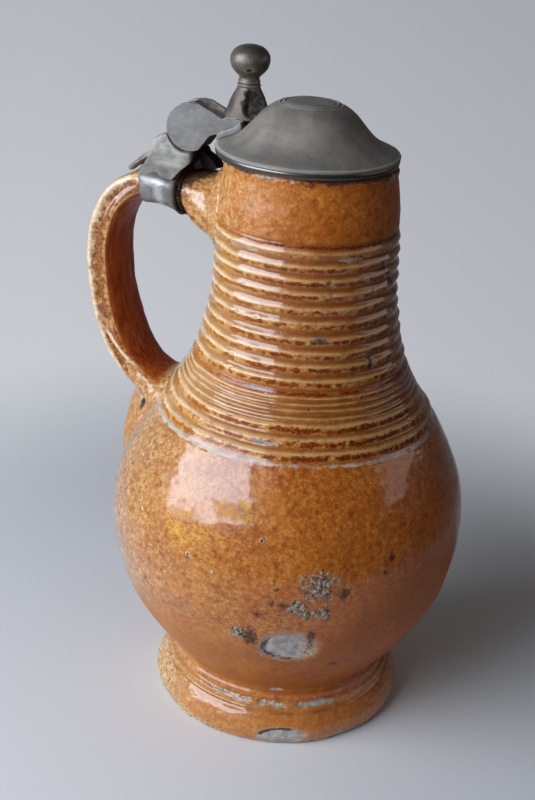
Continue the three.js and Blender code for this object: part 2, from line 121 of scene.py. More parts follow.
DARK_SPOTS = [
    [-52.5, 88.0, 1.7, 2.6], [-51.0, 47.6, 2.2, 1.3], [-73.3, 90.1, 0.9, 0.9],
    [-78.5, 77.9, 1.7, 1.3], [-70.9, 83.4, 2.2, 1.1], [-74.2, 83.8, 1.1, 1.6],
    [-37.0, 99.6, 1.5, 2.0], [-39.4, 94.0, 1.2, 1.4], [-79.0, 108.8, 0.8, 0.9],
    [-102.4, 95.6, 0.9, 0.9], [-120.4, 75.2, 1.3, 1.1], [-80.6, 65.0, 2.6, 4.4],
    [-61.6, 67.0, 1.3, 3.4], [-57.1, 201.2, 0.8, 0.8], [-29.5, 167.8, 1.1, 2.6],
    [-60.2, 178.4, 3.0, 0.9],
]
YELLOW_PATCHES = [[-105.5, 106.5, 9.5, 8], [-89.5, 117.5, 9, 3.4], [70, 104, 26, 16]]
# Burst blisters and, beside them, small pale scabs: [angle, height, radius]
BLISTERS = [[-79, 108.8, 0.85], [-102.1, 96.6, 0.95], [-56.7, 200.9, 0.6], [40, 88, 0.9]]
SCABS = [
    [-119.9, 74.5, 1.2], [-124.5, 104.2, 1.1], [-93.4, 92.6, 0.9], [-137, 120, 1.1],
    [-26, 232, 0.7],
]
CRACK = [[-17, 204], [-12, 200.5], [-8, 197], [-2, 193], [4, 190]]

# Handle: [x, z, half width, half thickness, roundness] down the middle of the strap,
# where roundness is 1 for an oval section and 0 for the grooved grip
STRAP = [
    [-30, 215.6, 17.2, 15.6, 1], [-34, 215.8, 16.6, 14.6, 1], [-38, 216.2, 15.4, 13.0, 1],
    [-41, 216.9, 14.2, 11.4, 1], [-45, 218.8, 13.3, 9.1, 1], [-49.5, 220.5, 13, 7.0, 1],
    [-55, 221.7, 13, 5.8, 1], [-60, 222.3, 13, 5.2, 0.9], [-67.5, 221.4, 13, 5.2, 0.7],
    [-74.2, 218.4, 13, 5.2, 0.3], [-79.2, 213.9, 13, 5.2, 0], [-82.8, 208, 13, 5.2, 0],
    [-85.3, 201.2, 13, 5.2, 0], [-86.5, 193.8, 13, 5.2, 0], [-86.5, 186, 13, 5.2, 0],
    [-85.6, 177, 13, 5.2, 0], [-84, 168, 13, 5.2, 0], [-81.6, 159.4, 13, 5.2, 0],
    [-78.3, 151.2, 13, 5.2, 0.05], [-74, 143.8, 13, 5.4, 0.45], [-68.8, 138, 13.3, 6.0, 0.9],
    [-62, 133, 14.0, 7.2, 1], [-53, 127.4, 15.4, 8.6, 1],
]
# Half a section of the strap, as shares of its half width and half thickness
OVAL_SECTION = [
    [0, 1], [0.4, 0.96], [0.72, 0.76], [0.93, 0.42], [1, 0], [0.94, -0.46], [0.76, -0.78],
    [0.42, -0.97], [0, -1],
]
GRIP_SECTION = [
    [0, 0.8], [0.45, 0.9], [0.82, 1.02], [0.985, 0.78], [0.9, 0.12], [1, -0.5], [0.93, -0.86],
    [0.7, -1.08], [0.4, -1.2], [0, -1.26],
]
SECTION_STEP = 0.045
TAIL_ROOT = 58
TAIL = [  # [height, reach, half width] of the ovals of the tail
    [92.5, 74.8, 9], [96, 76.4, 14], [102, 77.8, 16.6], [109, 77.6, 17], [117, 76.2, 15.6],
    [124.5, 74, 13.6], [130, 72.2, 13.1], [136, 69, 12.8],
]
HANDLE_SINKS_IN = 2.5
FILLET_HEIGHT, FILLET_REACH = 2.2, 6
# A hole burst in the tail and the bare clay under it: [x, y, z], then how far they stretch
TAIL_HOLE = [-63.2, -12.2, 125.6], [1, 1, 1.5]
TAIL_CLAY = [-65.9, -11.8, 127.2], [0.8, 1, 2.4]

# Band and packing round the strap: growth over the strap, and the slanting ends in x
COLLAR_GROWTH = [1.5, 3.2]
COLLAR_LEFT = [[232, -68.6], [211, -65.6]]
COLLAR_RIGHT = [[232, -50.8], [223, -50.9], [215, -51.0], [209, -50.6]]
PACKING_GROWTH = [0.2, 1.3]
PACKING_LEFT = [[232, -67.9], [211, -65.0]]
PACKING_RIGHT = [[232, -50.0], [223, -49.7], [215, -49.2], [209, -48.0]]

HINGE = (-50.2, 245.2)
KNUCKLE_RADIUS = 9.5
PIN_HEAD = 6.8

LID_X = -2.5
LID_BOTTOM = 240.35
LID_COLUMNS = 300
LID_OUTLINE = [
    [0, 260.9], [8, 260.65], [12.2, 259.8], [15.5, 258.1], [18.5, 255.6], [21, 252.9],
    [23.5, 250.1], [26, 247.6], [28.5, 245.8], [31, 244.5], [33.5, 243.5], [35.0, 242.8],
    [35.7, 242.4], [35.95, 242.0], [35.8, 241.6], [35.6, 241.4], [35.8, 241.1], [35.8, 240.2],
    [35.6, 239.5], [35.2, 239.1], [34.8, 239.2],
]
LID_UNDERSIDE = [
    [34.8, 240.1], [34.2, LID_BOTTOM], [27.2, LID_BOTTOM], [26.5, 239.6], [26.3, 236.0],
    [25.6, 235.4], [24.9, 236.0], [24.7, 240], [24.4, 246], [19.6, 251.6], [13.2, 256.4],
    [6, 258.5], [0, 258.8],
]
LID_RINGS = [11.6, 9.7]  # radii of the two lines cut in the crown

THUMB_X = -28.2
THUMB_OUTLINE = [  # [height, radius along X, radius along Y] of the thumbpiece
    [251.0, 10.0, 6.7], [252.6, 9.4, 6.6], [254.2, 8.5, 6.4], [256.2, 7.7, 6.1],
    [258.2, 6.9, 5.7], [260.2, 5.9, 5.1], [262.0, 4.9, 4.5], [263.0, 4.45, 4.2],
    [263.7, 4.65, 4.5], [264.3, 4.2, 4.1], [265.0, 4.4, 4.3], [265.8, 4.0, 3.95],
    [266.6, 4.0, 3.95], [267.3, 4.5, 4.45], [268.5, 5.7, 5.7], [270.0, 6.9, 6.9],
    [271.6, 7.55, 7.55], [273.3, 7.75, 7.75], [275.0, 7.45, 7.45], [276.6, 6.5, 6.5],
    [277.9, 4.8, 4.8], [278.6, 2.9, 2.9], [278.9, 1.0, 1.0],
]
# Dents in the stem and the ball of the thumbpiece: [x, y, z], then how far they reach
STEM_HOLLOW = [-23.6, -5.6, 257.6], [4.6, 4.2, 5.4]
BALL_PIT = [-26.0, -6.4, 270.2], [1.4, 1, 0.8]

# Size of the voxels and rounds of smoothing for each skin that is remade
RECAST = {
    "handle_strap": (0.55, 3),
    "bracket_casting": (0.34, 16),
    "arm_casting": (0.26, 5),
    "solder_run": (0.2, 4),
    "pin_peened": (0.16, 3),
}


# Lines and noise


def turns(count):
    """Angles once round, in radians."""
    return np.linspace(0, 2 * math.pi, count, endpoint=False)


def walked_along(line):
    """The distance walked along a line up to each of its points."""
    return np.concatenate([[0], np.cumsum(np.linalg.norm(np.diff(line, axis=0), axis=1))])


def tangents(line):
    tangent = np.gradient(line, axis=0)
    return tangent / np.linalg.norm(tangent, axis=1)[:, None]


def curve_through(points, step=0.1):
    """A smooth line through the points, sampled about every step millimetres."""
    points = np.array(points, float)
    first, last = 2 * points[0] - points[1], 2 * points[-1] - points[-2]
    padded = np.vstack([first, points, last])
    pieces = []
    for a, b, c, d in zip(padded[:-3], padded[1:-2], padded[2:-1], padded[3:]):
        knots = np.cumsum([0] + [np.linalg.norm(q - p) ** 0.5 for p, q in ((a, b), (b, c), (c, d))])
        count = max(2, int(np.linalg.norm(c - b) / step))
        t = np.linspace(knots[1], knots[2], count, endpoint=False)[:, None]

        def between(p, q, low, high):
            return ((knots[high] - t) * p + (t - knots[low]) * q) / (knots[high] - knots[low])

        ab, bc, cd = between(a, b, 0, 1), between(b, c, 1, 2), between(c, d, 2, 3)
        pieces.append(between(between(ab, bc, 0, 2), between(bc, cd, 1, 3), 1, 2))
    return np.vstack([*pieces, points[-1:]])


def resample(line, spacing):
    """Points along a line, as far apart as spacing gives: a number, or one for each sample."""
    steps = np.linalg.norm(np.diff(line, axis=0), axis=1)
    share = np.concatenate([[0], np.cumsum(steps / np.broadcast_to(spacing, len(line))[1:])])
    at = np.linspace(0, share[-1], int(round(share[-1])) + 1)
    return np.stack([np.interp(at, share, column) for column in line.T], axis=1)


def smooth(low, high, value):
    share = np.clip((value - low) / (high - low), 0, 1)
    return share * share * (3 - 2 * share)


def bell(distance, width):
    return np.exp(-((distance / width) ** 2))


def drip_ridge(above, upper, lower):
    """A ridge 1 high, with a long slope above its edge and a short one below it."""
    sharpness = 6.0
    lowest = -np.logaddexp(sharpness * (above / upper - 1), sharpness * (-above / lower - 1)) / sharpness
    return np.logaddexp(0, sharpness * lowest) / sharpness


def grain(points, size, octaves=1, shift=0.0):
    """Noise from about -1 to 1 at points in millimetres, with features of about size."""
    flat = (np.asarray(points, float).reshape(-1, 3) / size + shift).tolist()
    if octaves == 1:
        values = [noise.noise(Vector(point)) for point in flat]
    else:
        values = [noise.fractal(Vector(point), 0.7, 2.0, octaves) for point in flat]
    return np.array(values).reshape(np.shape(points)[:-1])


def from_spot(points, spot):
    """How far points are from a spot, given as its middle and its reach each way."""
    middle, reach = spot
    return np.linalg.norm((points - np.array(middle)) / np.array(reach), axis=-1)


def vessel_radius(height):
    wall = np.array(FOOT_AND_BELLY[3:] + SHOULDER_AND_NECK)
    return np.interp(height, wall[:, 1], wall[:, 0])


# Meshes


def new_object(name, points, faces):
    """A closed mesh in millimetres as an object in metres, smooth, with its faces out."""
    mesh = bpy.data.meshes.new(name)
    mesh.from_pydata((np.asarray(points) * MM).tolist(), [], faces)
    shell = bmesh.new()
    shell.from_mesh(mesh)
    bmesh.ops.recalc_face_normals(shell, faces=shell.faces)
    shell.to_mesh(mesh)
    shell.free()
    mesh.shade_smooth()
    piece = bpy.data.objects.new(name, mesh)
    SCENE.collection.objects.link(piece)
    return piece


def skin(name, rings, capped=True):
    """A closed skin over rings of points: with end caps, or else joined end to end."""
    rows, columns = rings.shape[:2]
    along = np.arange(rows - 1 if capped else rows)[:, None] * columns
    up = (along + columns) % (rows * columns)
    here = np.arange(columns)[None]
    beside = (here + 1) % columns
    quads = np.stack([along + here, along + beside, up + beside, up + here], -1)
    faces = quads.reshape(-1, 4).tolist()
    points = rings.reshape(-1, 3)
    if capped:
        start, end = len(points), len(points) + 1
        points = np.vstack([points, rings[0].mean(0), rings[-1].mean(0)])
        top = (rows - 1) * columns
        faces += [[start, (i + 1) % columns, i] for i in range(columns)]
        faces += [[end, top + i, top + (i + 1) % columns] for i in range(columns)]
    return new_object(name, points, faces)


def points_of(piece):
    flat = np.empty(len(piece.data.vertices) * 3)
    piece.data.vertices.foreach_get("co", flat)
    return flat.reshape(-1, 3) / MM


def surface_of(piece):
    """The points of a piece in millimetres, and its normals there."""
    flat = np.empty(len(piece.data.vertices) * 3, np.float32)
    piece.data.vertex_normals.foreach_get("vector", flat)
    return points_of(piece), flat.reshape(-1, 3).astype(float)


def set_points(piece, points):
    piece.data.vertices.foreach_set("co", (points * MM).astype(np.float32).ravel())
    piece.data.update()


def push(piece, points, normals, depth):
    """Sets the points of a piece this far out along their normals, and gives them back."""
    points = points + normals * depth[:, None]
    set_points(piece, points)
    return points


def paint(piece, **fields):
    """Puts a number on every vertex under each name, which materials read as 0 if it is absent."""
    for name, values in fields.items():
        attribute = piece.data.attributes.new(name, "FLOAT", "POINT")
        attribute.data.foreach_set("value", np.asarray(values, np.float32).ravel())


def neighbour_means(piece, values):
    """For every vertex, the mean of the values at the far ends of its edges."""
    ends = np.empty(len(piece.data.edges) * 2, np.int64)
    piece.data.edges.foreach_get("vertices", ends)
    ends = ends.reshape(-1, 2)
    total = np.zeros_like(values)
    count = np.zeros(len(values))
    for a, b in (ends.T, ends[:, ::-1].T):
        np.add.at(total, a, values[b])
        np.add.at(count, a, 1)
    return total / (count[:, None] if values.ndim > 1 else count)


def soften(piece, rounds):
    """Evens out a mesh without shrinking it: each round smooths, then grows it back."""
    points = points_of(piece)
    for _ in range(rounds):
        for strength in (0.55, -0.57):
            points = points + strength * (neighbour_means(piece, points) - points)
    set_points(piece, points)


def edge_wear(piece, reach, rounds=3):
    """From -1 in hollows to 1 on edges: how far each vertex stands over its neighbours."""
    points, normals = surface_of(piece)
    height = ((points - neighbour_means(piece, points)) * normals).sum(1) / reach
    for _ in range(rounds):
        height = (height + neighbour_means(piece, height)) / 2
    return np.clip(height, -1, 1)


def modified(piece, kind, **settings):
    """Applies one modifier to a piece and leaves none on it."""
    modifier = piece.modifiers.new(kind, kind)
    for key, value in settings.items():
        setattr(modifier, key, value)
    graph = bpy.context.evaluated_depsgraph_get()
    mesh = bpy.data.meshes.new_from_object(piece.evaluated_get(graph))
    piece.modifiers.clear()
    old = piece.data
    piece.data = mesh
    bpy.data.meshes.remove(old)
    mesh.shade_smooth()


def recast(name, *sources, cutter=None):
    """One skin over several closed objects or nodes, remade fine and softened."""
    voxel, rounds = RECAST[name]
    points, faces = [], []
    for source in sources:
        start = sum(len(p) for p in points)
        points.append(points_of(source))
        faces += [[start + v for v in face.vertices] for face in source.data.polygons]
    piece = new_object(name, np.vstack(points), faces)
    modified(piece, "REMESH", mode="VOXEL", voxel_size=voxel * MM)
    if cutter:
        modified(piece, "BOOLEAN", operation="DIFFERENCE", object=cutter, solver="EXACT")
        modified(piece, "REMESH", mode="VOXEL", voxel_size=voxel * MM)
    soften(piece, rounds)
    return piece


def discard(*pieces):
    for piece in pieces:
        mesh = piece.data
        bpy.data.objects.remove(piece)
        bpy.data.meshes.remove(mesh)


def dress(piece, body, slot, material, *nodes):
    """Sets a piece on its body in place of the nodes that it stands for."""
    piece.data.materials.clear()
    piece.data.materials.append(material)
    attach(piece, body)
    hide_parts(*nodes)


# Node trees


def rgb(text):
    """A colour as written on a screen, such as "b87032", as linear light."""
    shares = [int(text[i : i + 2], 16) / 255 for i in (0, 2, 4)]
    return (*(s / 12.92 if s < 0.04045 else ((s + 0.055) / 1.055) ** 2.4 for s in shares), 1.0)


class Nodes:
    """A node tree, whose inputs take sockets, numbers, or colours such as "b87032"."""

    def __init__(self, tree):
        self.tree = tree

    def put(self, socket, value):
        if isinstance(value, bpy.types.NodeSocket):
            self.tree.links.new(value, socket)
        else:
            socket.default_value = rgb(value) if isinstance(value, str) else value

    def node(self, kind, inputs=None, **settings):
        made = self.tree.nodes.new(kind)
        for key, value in settings.items():
            setattr(made, key, value)
        for socket, value in (inputs or {}).items():
            self.put(made.inputs[socket], value)
        return made

    def vector(self, operation, a, b=(0, 0, 0), scale=1.0, output=0):
        # The scale is input 3, taken by its number since most operations hide its name
        made = self.node("ShaderNodeVectorMath", {0: a, 1: b, 3: scale}, operation=operation)
        return made.outputs[output]

    def math(self, operation, *values):
        """Chains one operation over two or more values."""
        total = values[0]
        for value in values[1:]:
            total = self.node("ShaderNodeMath", {0: total, 1: value}, operation=operation).outputs[0]
        return total

    def add(self, *values):
        return self.math("ADD", *values)

    def times(self, *values):
        return self.math("MULTIPLY", *values)

    def most(self, *values):
        return self.math("MAXIMUM", *values)

    def swing(self, value, reach):
        """Noise moved to lie about zero, and stretched."""
        return self.times(self.math("SUBTRACT", value, 0.5), reach)

    def ramp(self, value, low, high, to_low=0.0, to_high=1.0, kind="SMOOTHSTEP"):
        inputs = dict(enumerate((value, low, high, to_low, to_high)))
        return self.node("ShaderNodeMapRange", inputs, interpolation_type=kind).outputs[0]

    def mix(self, share, a, b, kind="RGBA"):
        inputs = {"Factor": share, "A": a, "B": b}
        return self.node("ShaderNodeMix", inputs, data_type=kind).outputs["Result"]

    def blend(self, share, a, b):
        return self.mix(share, a, b, "FLOAT")

    def tones(self, value, low, high, dark, light):
        """Two colours mixed by where a value lies between low and high."""
        return self.mix(self.ramp(value, low, high), dark, light)


class Shader(Nodes):
    """A material with its textures in millimetres, and a running colour and normal."""

    def __init__(self, name, **constants):
        self.material = bpy.data.materials.new(name)
        self.material.use_nodes = True
        super().__init__(self.material.node_tree)
        self.tree.nodes.clear()
        self.surface = self.node("ShaderNodeBsdfPrincipled")
        self.node("ShaderNodeOutputMaterial", {"Surface": self.surface.outputs[0]})
        where = self.node("ShaderNodeTexCoord").outputs["Object"]
        self.place = self.vector("SCALE", where, scale=1 / MM)
        self.colour = self.normal = None
        for socket, value in constants.items():
            self.put(self.surface.inputs[socket.replace("_", " ")], value)

    def spread(self, size, stretch, shift):
        place = self.vector("MULTIPLY", self.place, tuple(1 / (size * s) for s in stretch))
        return self.vector("ADD", place, (shift, shift * 0.7, shift * 1.3))

    def noise(self, size, detail=2.0, stretch=(1, 1, 1), shift=0.0, twist=0.0, roughness=0.5):
        return self.node("ShaderNodeTexNoise", {
            "Vector": self.spread(size, stretch, shift),
            "Scale": 1.0,
            "Detail": detail,
            "Roughness": roughness,
            "Distortion": twist,
        }).outputs["Fac"]

    def cells(self, size, shift):
        """How far it is to the middle of the nearest cell, and that cell's own random number."""
        place = self.spread(size, (1, 1, 1), shift)
        made = self.node("ShaderNodeTexVoronoi", {"Vector": place, "Scale": 1.0})
        return made.outputs["Distance"], made.outputs["Color"]

    def specks(self, size, shift, reach, rarity):
        """Small round spots in some of the cells."""
        distance, chance = self.cells(size, shift)
        return self.times(self.ramp(distance, *reach, 1, 0), self.ramp(chance, *rarity))

    def from_wall(self, angle, height, above=0.0):
        """How far each point is from a place on, or just above, the wall of the jug."""
        turn, radius = math.radians(angle), vessel_radius(height) + above
        spot = (radius * math.cos(turn), radius * math.sin(turn), height)
        return self.vector("DISTANCE", self.place, spot, output="Value")

    def field(self, name):
        return self.node("ShaderNodeAttribute", attribute_name=name).outputs["Fac"]

    def fields(self, *names):
        return [self.field(name) for name in names]

    def torn(self, name, edge, size, shift, depth):
        """A painted field cut off at one half, with its edge broken up by noise."""
        ragged = self.noise(size, 3, shift=shift)
        return self.ramp(self.add(self.field(name), self.swing(ragged, depth)), 0.5 - edge, 0.5 + edge)

    def over(self, share, colour, strength=None):
        """Lays a colour over the running one."""
        if strength is not None:
            share = self.times(share, strength)
        self.colour = self.mix(share, self.colour, colour)

    def bump(self, height, depth):
        """Adds relief, this many millimetres deep, to the running normal."""
        inputs = {"Strength": 1.0, "Distance": depth * MM, "Height": height}
        if self.normal is not None:
            inputs["Normal"] = self.normal
        self.normal = self.node("ShaderNodeBump", inputs).outputs["Normal"]

    def finish(self, roughness, **others):
        known = {"Base_Color": self.colour, "Roughness": roughness, "Normal": self.normal}
        for socket, value in {**known, **others}.items():
            self.put(self.surface.inputs[socket.replace("_", " ")], value)
        return self.material


# Materials


def lay_glaze(s):
    """Mottled brown glaze, paler on the left where the light's sheen is painted into it, and paler at the
    foot. Gives back its yellow patches.
    """
    low, pale, warm, satin = s.fields("low", "pale", "warm", "satin")
    dots = s.times(s.ramp(s.grains, 0.45, 0.58), s.blend(satin, 1.0, 0.95))
    s.colour = s.tones(s.cloud, 0.36, 0.66, "9c4f12", "b5661c")
    # The pale field paints the sheen of the light from the left as a paler colour on that side of the jug.
    s.over(pale, "b88648", s.ramp(s.cloud, 0.3, 0.7, 0.5, 0.8))
    s.over(warm, "c05a16", 0.7)
    share = s.blend(low, s.blend(pale, 0.55, 0.85), 0.45)
    share = s.times(share, s.ramp(s.noise(9, 3, shift=41), 0.36, 0.66, 0.6, 1.0))
    # The flecks are paler on that side too, as painted sheen.
    s.over(dots, s.mix(pale, "da9a44", "e2c088"), share)
    stains = s.add(s.times(s.noise(2.4, 3, shift=14), 0.6), s.times(s.fleck, 0.4))
    s.over(s.ramp(stains, 0.5, 0.64), "7f390b", s.blend(low, 0.75, 0.4))
    s.over(satin, "b8640f", s.blend(dots, 0.22, 0.0))
    yellow = s.ramp(s.add(s.field("yellow"), s.times(s.noise(3.4, 3, shift=21), 0.9)), 0.75, 1.1)
    s.over(yellow, "d6a541", s.ramp(s.grains, 0.45, 0.57, 0.0, 0.8))
    s.over(yellow, "a5400c", s.ramp(s.fleck, 0.56, 0.66, 0.0, 0.6))
    s.over(low, s.mix(warm, "b0672b", "944c1b"), 0.5)
    s.over(s.field("foot"), "bf8346", 0.4)
    return yellow


def lay_ribs(s):
    """Smooth brown hollows and cream slopes, then mottled yellow with dark beads and rust."""
    pale, ribbed, pool, rust = s.fields("pale", "ribbed", "pool", "rust")
    browns = s.tones(s.streak, 0.38, 0.62, "8c481a", "a86327")
    golds = s.tones(s.streak, 0.38, 0.62, "bb8340", "d9b06e")
    # Gold rather than brown on the left: the painted sheen of the pale field.
    s.over(ribbed, s.mix(s.times(pale, 0.9), browns, golds), 0.8)
    s.over(s.field("groove"), s.mix(pale, "7c4018", "a5763f"), s.ramp(s.streak, 0.35, 0.6, 0.35, 0.8))
    ochre = s.tones(s.grains, 0.44, 0.6, s.mix(pale, "b46a1c", "cb8f3a"), "e6b85f")
    s.over(s.field("face"), ochre, 0.95)
    thin = s.times(s.field("crest"), s.ramp(s.streak, 0.3, 0.55, 0.5, 0.95))
    # Cream on the crests, broken by rust; on the handle's edges this cream is partly a painted highlight.
    worn_and_lit = s.blend(rust, s.ramp(s.grains, 0.4, 0.54, 0.75, 1), s.ramp(s.grains, 0.42, 0.54))
    s.over(thin, s.mix(pale, "d2a263", "f4deb8"), worn_and_lit)
    clumps = s.add(pool, s.swing(s.grains, 3.0), s.swing(s.noise(2.2, 2, (1, 1, 0.8), 61), 2.6))
    deep = s.mix(s.times(pale, 0.85), s.tones(s.fleck, 0.4, 0.62, "5c1703", "923b0b"), "b86c25")
    s.over(s.ramp(clumps, 0.3, 0.6), deep, s.ramp(pool, 0, 0.2, 0, 0.95))
    clots = s.add(rust, s.swing(s.noise(2.6, 4, shift=63, roughness=0.65), 3.4))
    rusty = s.tones(s.fleck, 0.4, 0.6, "4f1f05", "92470f")
    s.over(s.ramp(clots, 0.3, 0.8), rusty, s.ramp(rust, 0, 0.3, 0, 0.8))
    drawn = s.noise(1.8, 3, (1, 1, 6), 57)
    s.over(s.field("dark"), s.tones(drawn, 0.35, 0.65, "8a330b", "ab551d"))


def lay_spots(s):
    """Rare pits, burst blisters in pale rings, pale scabs, and the crack over the ribs."""
    pits = s.specks(6.5, 2, (0.03, 0.09), (0.72, 0.75))
    s.over(pits, "4a2112", 0.6)
    blister = split = 0.0
    for angle, height, size in BLISTERS:
        away = s.from_wall(angle, height)
        s.over(s.ramp(away, size * 0.7, size * 0.35, 0, 0.85), "3b1f12")
        ring = s.times(s.ramp(away, size * 0.5, size * 0.9), s.ramp(away, size * 1.5, size * 1.05))
        blister = s.most(blister, ring)
    for angle, height, size in SCABS:
        away = s.add(s.from_wall(angle, height), s.swing(s.grains, -5.0))
        blister = s.most(blister, s.ramp(away, size * 1.2, size * 0.5))
    s.over(blister, "e8d2ac", 0.6)
    for (angle, height), (next_angle, next_height) in zip(CRACK, CRACK[1:]):
        for share in (0.0, 0.25, 0.5, 0.75):
            level = height + share * (next_height - height)
            away = s.from_wall(angle + share * (next_angle - angle), level, above=0.6)
            split = s.most(split, s.ramp(away, 1.7, 0.9))
    s.over(split, "2b1d18", s.ramp(s.fleck, 0.35, 0.5, 0.4, 0.85))
    return pits, blister, split


def lay_clay(s):
    """Chips down to pale clay and bare grey clay, with grit on one side of the scar."""
    chips = s.torn("chip", 0.09, 1.4, 19, 0.5)
    s.over(chips, s.tones(s.noise(1.5, 4, shift=27), 0.4, 0.62, "8f8172", "c0b19a"), 0.85)
    halo = s.ramp(s.add(s.field("bare"), s.times(s.noise(1.6, 3), 0.4), -0.2), 0.34, 0.46)
    s.over(halo, "b98a5a", 0.65)
    bare = s.torn("bare", 0.06, 3.4, 0.0, 0.25)
    clay = s.tones(s.noise(3.4, 3, shift=17), 0.34, 0.66, "9c958f", "bdb5ad")
    clay = s.mix(s.times(s.ramp(s.noise(0.9, 2, shift=4), 0.6, 0.7), 0.5), clay, "6c645f")
    gritty = s.ramp(s.add(s.field("scar_side"), s.times(s.speck, 0.3)), 0.78, 0.92)
    gritty = s.times(gritty, s.ramp(s.field("scar"), 0, 0.2))
    s.over(bare, s.mix(gritty, clay, s.tones(s.fleck, 0.42, 0.58, "9a7e60", "c9b497")))
    return chips, bare


def stoneware_material():
    """Salt glaze over brown slip: mottled, pooled dark under the ribs and thin on the crests."""
    s = Shader("stoneware", IOR=1.45, Coat_IOR=1.48, Coat_Roughness=0.08, Specular_IOR_Level=0.3)
    s.speck = s.noise(2.2, 4, roughness=0.68)
    s.fleck = s.noise(1.0, 3, shift=5, roughness=0.6)
    s.cloud = s.noise(17, 3, shift=9)
    s.streak = s.noise(4.5, 3, (1.6, 1.6, 0.3), 3)
    s.grains = s.add(s.times(s.speck, 0.5), s.times(s.fleck, 0.5))
    low, ribbed, satin, pool, face = s.fields("low", "ribbed", "satin", "pool", "face")

    yellow = lay_glaze(s)
    lay_ribs(s)
    pits, blister, split = lay_spots(s)
    crust = s.torn("crust", 0.3, 2.6, 8, 1.2)
    flakes = s.noise(1.7, 4, (1, 1, 0.7), 12, twist=1.0)
    crusty = s.tones(flakes, 0.36, 0.6, "b98345", "d9c08f")
    s.over(crust, s.tones(s.noise(2.0, 3, shift=51), 0.55, 0.66, crusty, "8f4a16"), 0.85)
    slip = s.ramp(s.add(s.field("slip"), s.swing(s.speck, 0.6)), 0.32, 0.62)
    dim, bright = s.mix(ribbed, "bca994", "8f8880"), s.mix(ribbed, "d9cbb6", "b8aa98")
    s.over(slip, s.tones(s.streak, 0.4, 0.6, dim, bright), 0.8)
    chips, bare = lay_clay(s)
    crumbs = s.torn("debris", 0.14, 1.7, 6, 2.0)
    s.over(s.torn("debris", 0.3, 2.2, 6, 0.6), "74482c", 0.6)
    lumps = s.noise(1.9, 4, shift=7, roughness=0.7)
    s.over(crumbs, s.tones(lumps, 0.4, 0.56, "493a2c", "b3a690"), 0.9)
    # Soot and dark spots, together with painted shade under the lid's brim and under the hinge, all laid
    # near-black.
    soot = s.torn("soot", 0.28, 1.6, 11, 1.3)
    s.over(soot, s.tones(s.fleck, 0.4, 0.6, "211715", "46342e"), 0.85)
    unglazed = s.ramp(s.field("unglazed"), 0.3, 0.7)
    s.over(unglazed, s.tones(s.speck, 0.4, 0.6, "8d7a66", "a8947c"))

    dull = s.most(
        bare,
        s.times(soot, 0.7),
        unglazed,
        s.times(s.most(crust, crumbs), 0.7),
        s.times(s.most(chips, slip), 0.35),
        s.times(yellow, s.ramp(s.grains, 0.42, 0.54, 0.5, 0.95)),
    )
    shine = s.blend(ribbed, s.blend(low, 0.9, 0.1), s.blend(pool, s.blend(face, 0.9, 0.55), 0.12))
    coat = s.times(s.blend(dull, 1.0, 0.0), shine, s.blend(satin, 1.0, 0.15))
    smoothest = s.blend(satin, s.blend(low, s.ramp(s.grains, 0.35, 0.65, 0.2, 0.32), 0.55), 0.46)
    peel = s.add(s.times(s.speck, 0.4), s.times(s.noise(5.0, 3, shift=33), 1.5), s.times(s.fleck, 0.1))
    s.bump(s.times(peel, s.blend(ribbed, 1.0, 0.75)), 0.3)
    s.bump(s.add(s.times(bare, -0.9), s.times(chips, -0.5), s.times(pits, -0.8)), 0.3)
    lump = s.ramp(s.cells(1.5, 71)[0], 0.2, 0.6, 1, 0)
    raised = s.add(s.times(crust, flakes), s.times(crumbs, lump, 0.5), s.times(blister, 0.4))
    s.bump(s.add(raised, s.times(split, -0.6)), 0.8)
    return s.finish(s.blend(dull, smoothest, 0.72), Coat_Weight=coat)


def pewter_material(name, deep, pale, edge, roughness, metallic, speckle, sheen=0.3, brushed=0.0):
    """Old pewter: clouded, pitted, dull in its hollows and worn bright on its edges, carrying the painted
    highlights and painted shade that pieces lay on it.
    """
    s = Shader(name, Specular_IOR_Level=sheen)
    cloud = s.noise(7, 4, shift=4, roughness=0.6)
    fine = s.noise(0.9, 3, shift=13)
    wear, dark, brown = s.fields("wear", "dark", "brown")
    s.colour = s.tones(cloud, 0.36, 0.64, deep, pale)
    s.over(s.ramp(fine, 0.5, 0.68), edge, speckle)
    # Pale on worn edges, and where a piece paints a highlight into this field.
    s.over(s.ramp(s.add(wear, s.times(fine, 0.3)), 0.35, 0.8, 0, 0.8), edge)
    s.over(s.ramp(wear, -0.75, -0.2, 0.7, 0.0), "26231f")
    # A lighter warm tint: tarnish, with painted light on tops that face up.
    s.over(brown, s.tones(s.noise(2.4, 3, shift=23), 0.4, 0.62, "91867c", "b3a89c"), 0.85)
    # Near-black where a piece paints shade into its dark field, and on dark patina.
    s.over(dark, "191411", 0.97)
    pits = s.specks(3.2, 3, (0.07, 0.13), (0.62, 0.66))
    s.over(pits, "33302c", 0.6)
    rough = s.ramp(cloud, 0.3, 0.7, roughness - 0.07, roughness + 0.09)
    s.bump(s.add(s.times(fine, 0.3), s.times(s.noise(2.8, 3, shift=9), 0.8), s.times(pits, -0.8)), 0.16)
    if brushed:
        s.bump(s.noise(0.5, 2, (0.35, 0.35, 8), 2), brushed)
    metal = s.times(s.blend(brown, metallic, 0.15), s.blend(dark, 1, 0), s.ramp(wear, 0.3, 0.8, 1, 0.3))
    return s.finish(s.add(rough, s.times(wear, -0.08), s.times(dark, 0.35)), Metallic=metal)


